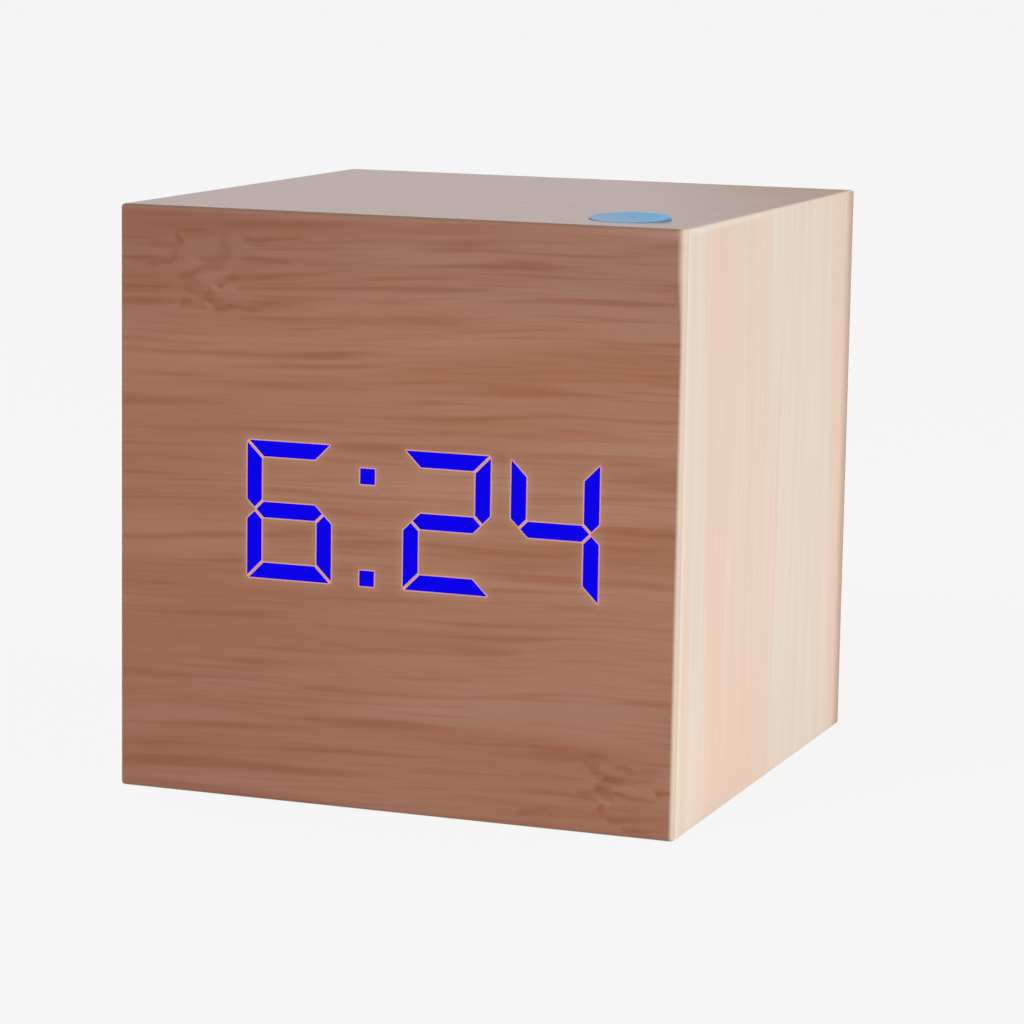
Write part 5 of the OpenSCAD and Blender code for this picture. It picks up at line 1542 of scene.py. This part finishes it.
class CLOCK_OT_grips(Operator):
    """Raises the grip ridges on the battery door and on the sound lever"""
    bl_idname = "clock.grips"
    bl_label = "Grip ridges"

    def execute(self, context):
        own = context.scene.clock_moulding
        top = box_mm("door_latch")[0].z - 2 * own.ridge_step / MM
        face_y = box_mm("battery_door")[1].y - DOOR_GRIP_SUNK
        door = grown("door_grip", "bead_row", {
            "Count": own.ridges, "First": Vector((0, face_y, top)) * MM,
            "Step": Vector((0, 0, -own.ridge_step)), "Turn": Vector((0, QUARTER, 0)),
            "Length": DOOR_GRIP * MM, "Radius": own.ridge, "Blunt": DOOR_GRIP_BLUNT,
            "Material": mixed("cover_plastic")})
        settle(door, "cover_plastic", "door", "cover_black")
        low, high = box_mm("sound_lever")
        step = (high.x - low.x) / LEVER_RIDGES
        first = Vector((low.x + step / 2, high.y, (low.z + high.z) / 2))
        lever = grown("lever_grip", "bead_row", {
            "Count": LEVER_RIDGES, "First": first * MM, "Step": Vector((step, 0, 0)) * MM,
            "Turn": Vector(ORIGIN), "Length": (high.z - low.z) * MM, "Radius": step * LEVER_RIDGE_R * MM,
            "Blunt": LEVER_GRIP_BLUNT, "Material": mixed("plunger_plastic")})
        settle(lever, "plunger_plastic", "sound_slider", "plunger")
        return {"FINISHED"}


# Solder joints: their length, half of it in the board, their radius, and how pointed they are
SOLDER_LENGTH = 0.9
SOLDER_R = 0.36
SOLDER_POINTED = 1.4


class CLOCK_OT_solder(Operator):
    """Sets the solder joints of the flat cables on the display board"""
    bl_idname = "clock.solder"
    bl_label = "Solder joints"

    def execute(self, context):
        face_y = box_mm("display_board")[0].y
        for name in ("control_ribbon", "inlet_ribbon"):
            low, high = box_mm(name)
            cores = round(high.x - low.x)
            step = (high.x - low.x) / cores
            first = Vector((low.x + step / 2, face_y, high.z - CABLE_T / 2))
            joints = grown(name + "_solder", "bead_row", {
                "Count": cores, "First": first * MM, "Step": Vector((step, 0, 0)) * MM,
                "Turn": Vector((QUARTER, 0, 0)), "Length": SOLDER_LENGTH * MM, "Radius": SOLDER_R * MM,
                "Blunt": SOLDER_POINTED, "Material": mixed("contact_plating")})
            settle(joints, "contact_plating", "case", "contact_nickel")
        return {"FINISHED"}


# Stage, with places and sizes in metres

SENSOR_WIDTH = 36.0
CLIP_RANGE = (0.01, 100.0)
LAMP_AIM = (0.0, 0.0, 0.03)
FRONT_LAMP = (-0.35, -0.75, 0.65)
SIDE_LAMP = (0.85, -0.15, 0.45)
LAMP_SIZE = 0.6
FLOOR_REACH = 10.0
# How far the floor shows as plain white paper. The rest takes the shadow.
FLOOR_GLOW = 0.94


def aimed_lamp(name, place, watts):
    """A square lamp that looks at the middle of the clock."""
    lamp = bpy.data.lights.new(name, "AREA")
    lamp.shape, lamp.size, lamp.energy = "SQUARE", LAMP_SIZE, watts
    holder = bpy.data.objects.new(name, lamp)
    holder.location = place
    holder.rotation_euler = (Vector(LAMP_AIM) - Vector(place)).to_track_quat("-Z", "Y").to_euler()
    bpy.context.scene.collection.objects.link(holder)


def seen_rays(n):
    """1 for rays of the camera, of reflections and of clear plastic."""
    path = n.add("ShaderNodeLightPath").outputs
    seen = n.math("MAXIMUM", path["Is Camera Ray"], path["Is Glossy Ray"])
    return n.math("MAXIMUM", seen, path["Is Transmission Ray"])


class CLOCK_OT_stage(Operator):
    """Sets the camera, the lamps, the backdrop and the floor"""
    bl_idname = "clock.stage"
    bl_label = "Stage"

    def execute(self, context):
        own, scene = context.scene.clock_stage, context.scene
        lens = bpy.data.cameras.new("camera")
        lens.lens, lens.sensor_width = own.lens, SENSOR_WIDTH
        lens.clip_start, lens.clip_end = CLIP_RANGE
        camera = bpy.data.objects.new("camera", lens)
        camera.location, camera.rotation_euler = own.eye, own.aim
        scene.collection.objects.link(camera)
        scene.camera = camera
        scene.view_settings.view_transform = "Standard"

        world = bpy.data.worlds.new("backdrop")
        world.use_nodes = True
        world.node_tree.nodes.clear()
        n = Nodes(world.node_tree)
        level = n.remap(seen_rays(n), 0.0, 1.0, own.sky, 1.0, "LINEAR")
        light = n.result("ShaderNodeBackground", {"Color": own.paper, "Strength": level})
        n.add("ShaderNodeOutputWorld", {"Surface": light})
        scene.world = world

        aimed_lamp("front_lamp", FRONT_LAMP, own.lamp)
        aimed_lamp("side_lamp", SIDE_LAMP, own.fill)

        sheet = bpy.data.meshes.new("floor")
        square = ((-1, -1), (1, -1), (1, 1), (-1, 1))
        sheet.from_pydata([(x * FLOOR_REACH, y * FLOOR_REACH, 0) for x, y in square], [], [(0, 1, 2, 3)])
        material = bpy.data.materials.new("paper")
        material.use_nodes = True
        material.node_tree.nodes.clear()
        n = Nodes(material.node_tree)
        matt = n.result("ShaderNodeBsdfDiffuse", {"Color": own.paper})
        white = n.result("ShaderNodeEmission", {"Color": own.paper, "Strength": 1.0})
        blend = n.result("ShaderNodeMixShader", {0: n.times(seen_rays(n), FLOOR_GLOW), 1: matt, 2: white})
        n.add("ShaderNodeOutputMaterial", {"Surface": blend})
        sheet.materials.append(material)
        floor = bpy.data.objects.new("floor", sheet)
        scene.collection.objects.link(floor)
        return {"FINISHED"}


class CLOCK_PT_build(Panel):
    """Pieces of the clock and their settings"""
    bl_idname = "CLOCK_PT_build"
    bl_label = "Bamboo cube clock"
    bl_space_type = "VIEW_3D"
    bl_region_type = "UI"
    bl_category = "Clock"

    def draw(self, context):
        for step in STEPS:
            self.layout.operator(step.bl_idname)
        for name, kind in SETTINGS.items():
            box = self.layout.box()
            box.label(text=kind.__doc__)
            for field in kind.__annotations__:
                box.prop(getattr(context.scene, name), field)


SETTINGS = {
    "clock_bamboo": BambooSettings,
    "clock_glow": GlowSettings,
    "clock_moulding": MouldingSettings,
    "clock_stage": StageSettings,
}
STEPS = (
    CLOCK_OT_stage, CLOCK_OT_case_boards, CLOCK_OT_display, CLOCK_OT_controls, CLOCK_OT_rear_cover,
    CLOCK_OT_veneer, CLOCK_OT_top_key, CLOCK_OT_rear_keys, CLOCK_OT_cells, CLOCK_OT_springs, CLOCK_OT_leads,
    CLOCK_OT_flat_cables, CLOCK_OT_grips, CLOCK_OT_solder,
)


def register():
    for kind in (*SETTINGS.values(), *STEPS, CLOCK_PT_build):
        bpy.utils.register_class(kind)
    for name, kind in SETTINGS.items():
        setattr(bpy.types.Scene, name, PointerProperty(type=kind))


def unregister():
    for name in SETTINGS:
        delattr(bpy.types.Scene, name)
    for kind in (CLOCK_PT_build, *reversed(STEPS), *reversed(SETTINGS.values())):
        bpy.utils.unregister_class(kind)


def main():
    register()
    bpy.ops.clock.stage()
    bpy.ops.clock.case_boards()
    bpy.ops.clock.display()
    bpy.ops.clock.controls()
    bpy.ops.clock.rear_cover()
    bpy.ops.clock.veneer()
    bpy.ops.clock.top_key()
    bpy.ops.clock.rear_keys()
    bpy.ops.clock.cells()
    bpy.ops.clock.springs()
    bpy.ops.clock.leads()
    bpy.ops.clock.flat_cables()
    bpy.ops.clock.grips()
    bpy.ops.clock.solder()


if __name__ == "__main__":
    main()
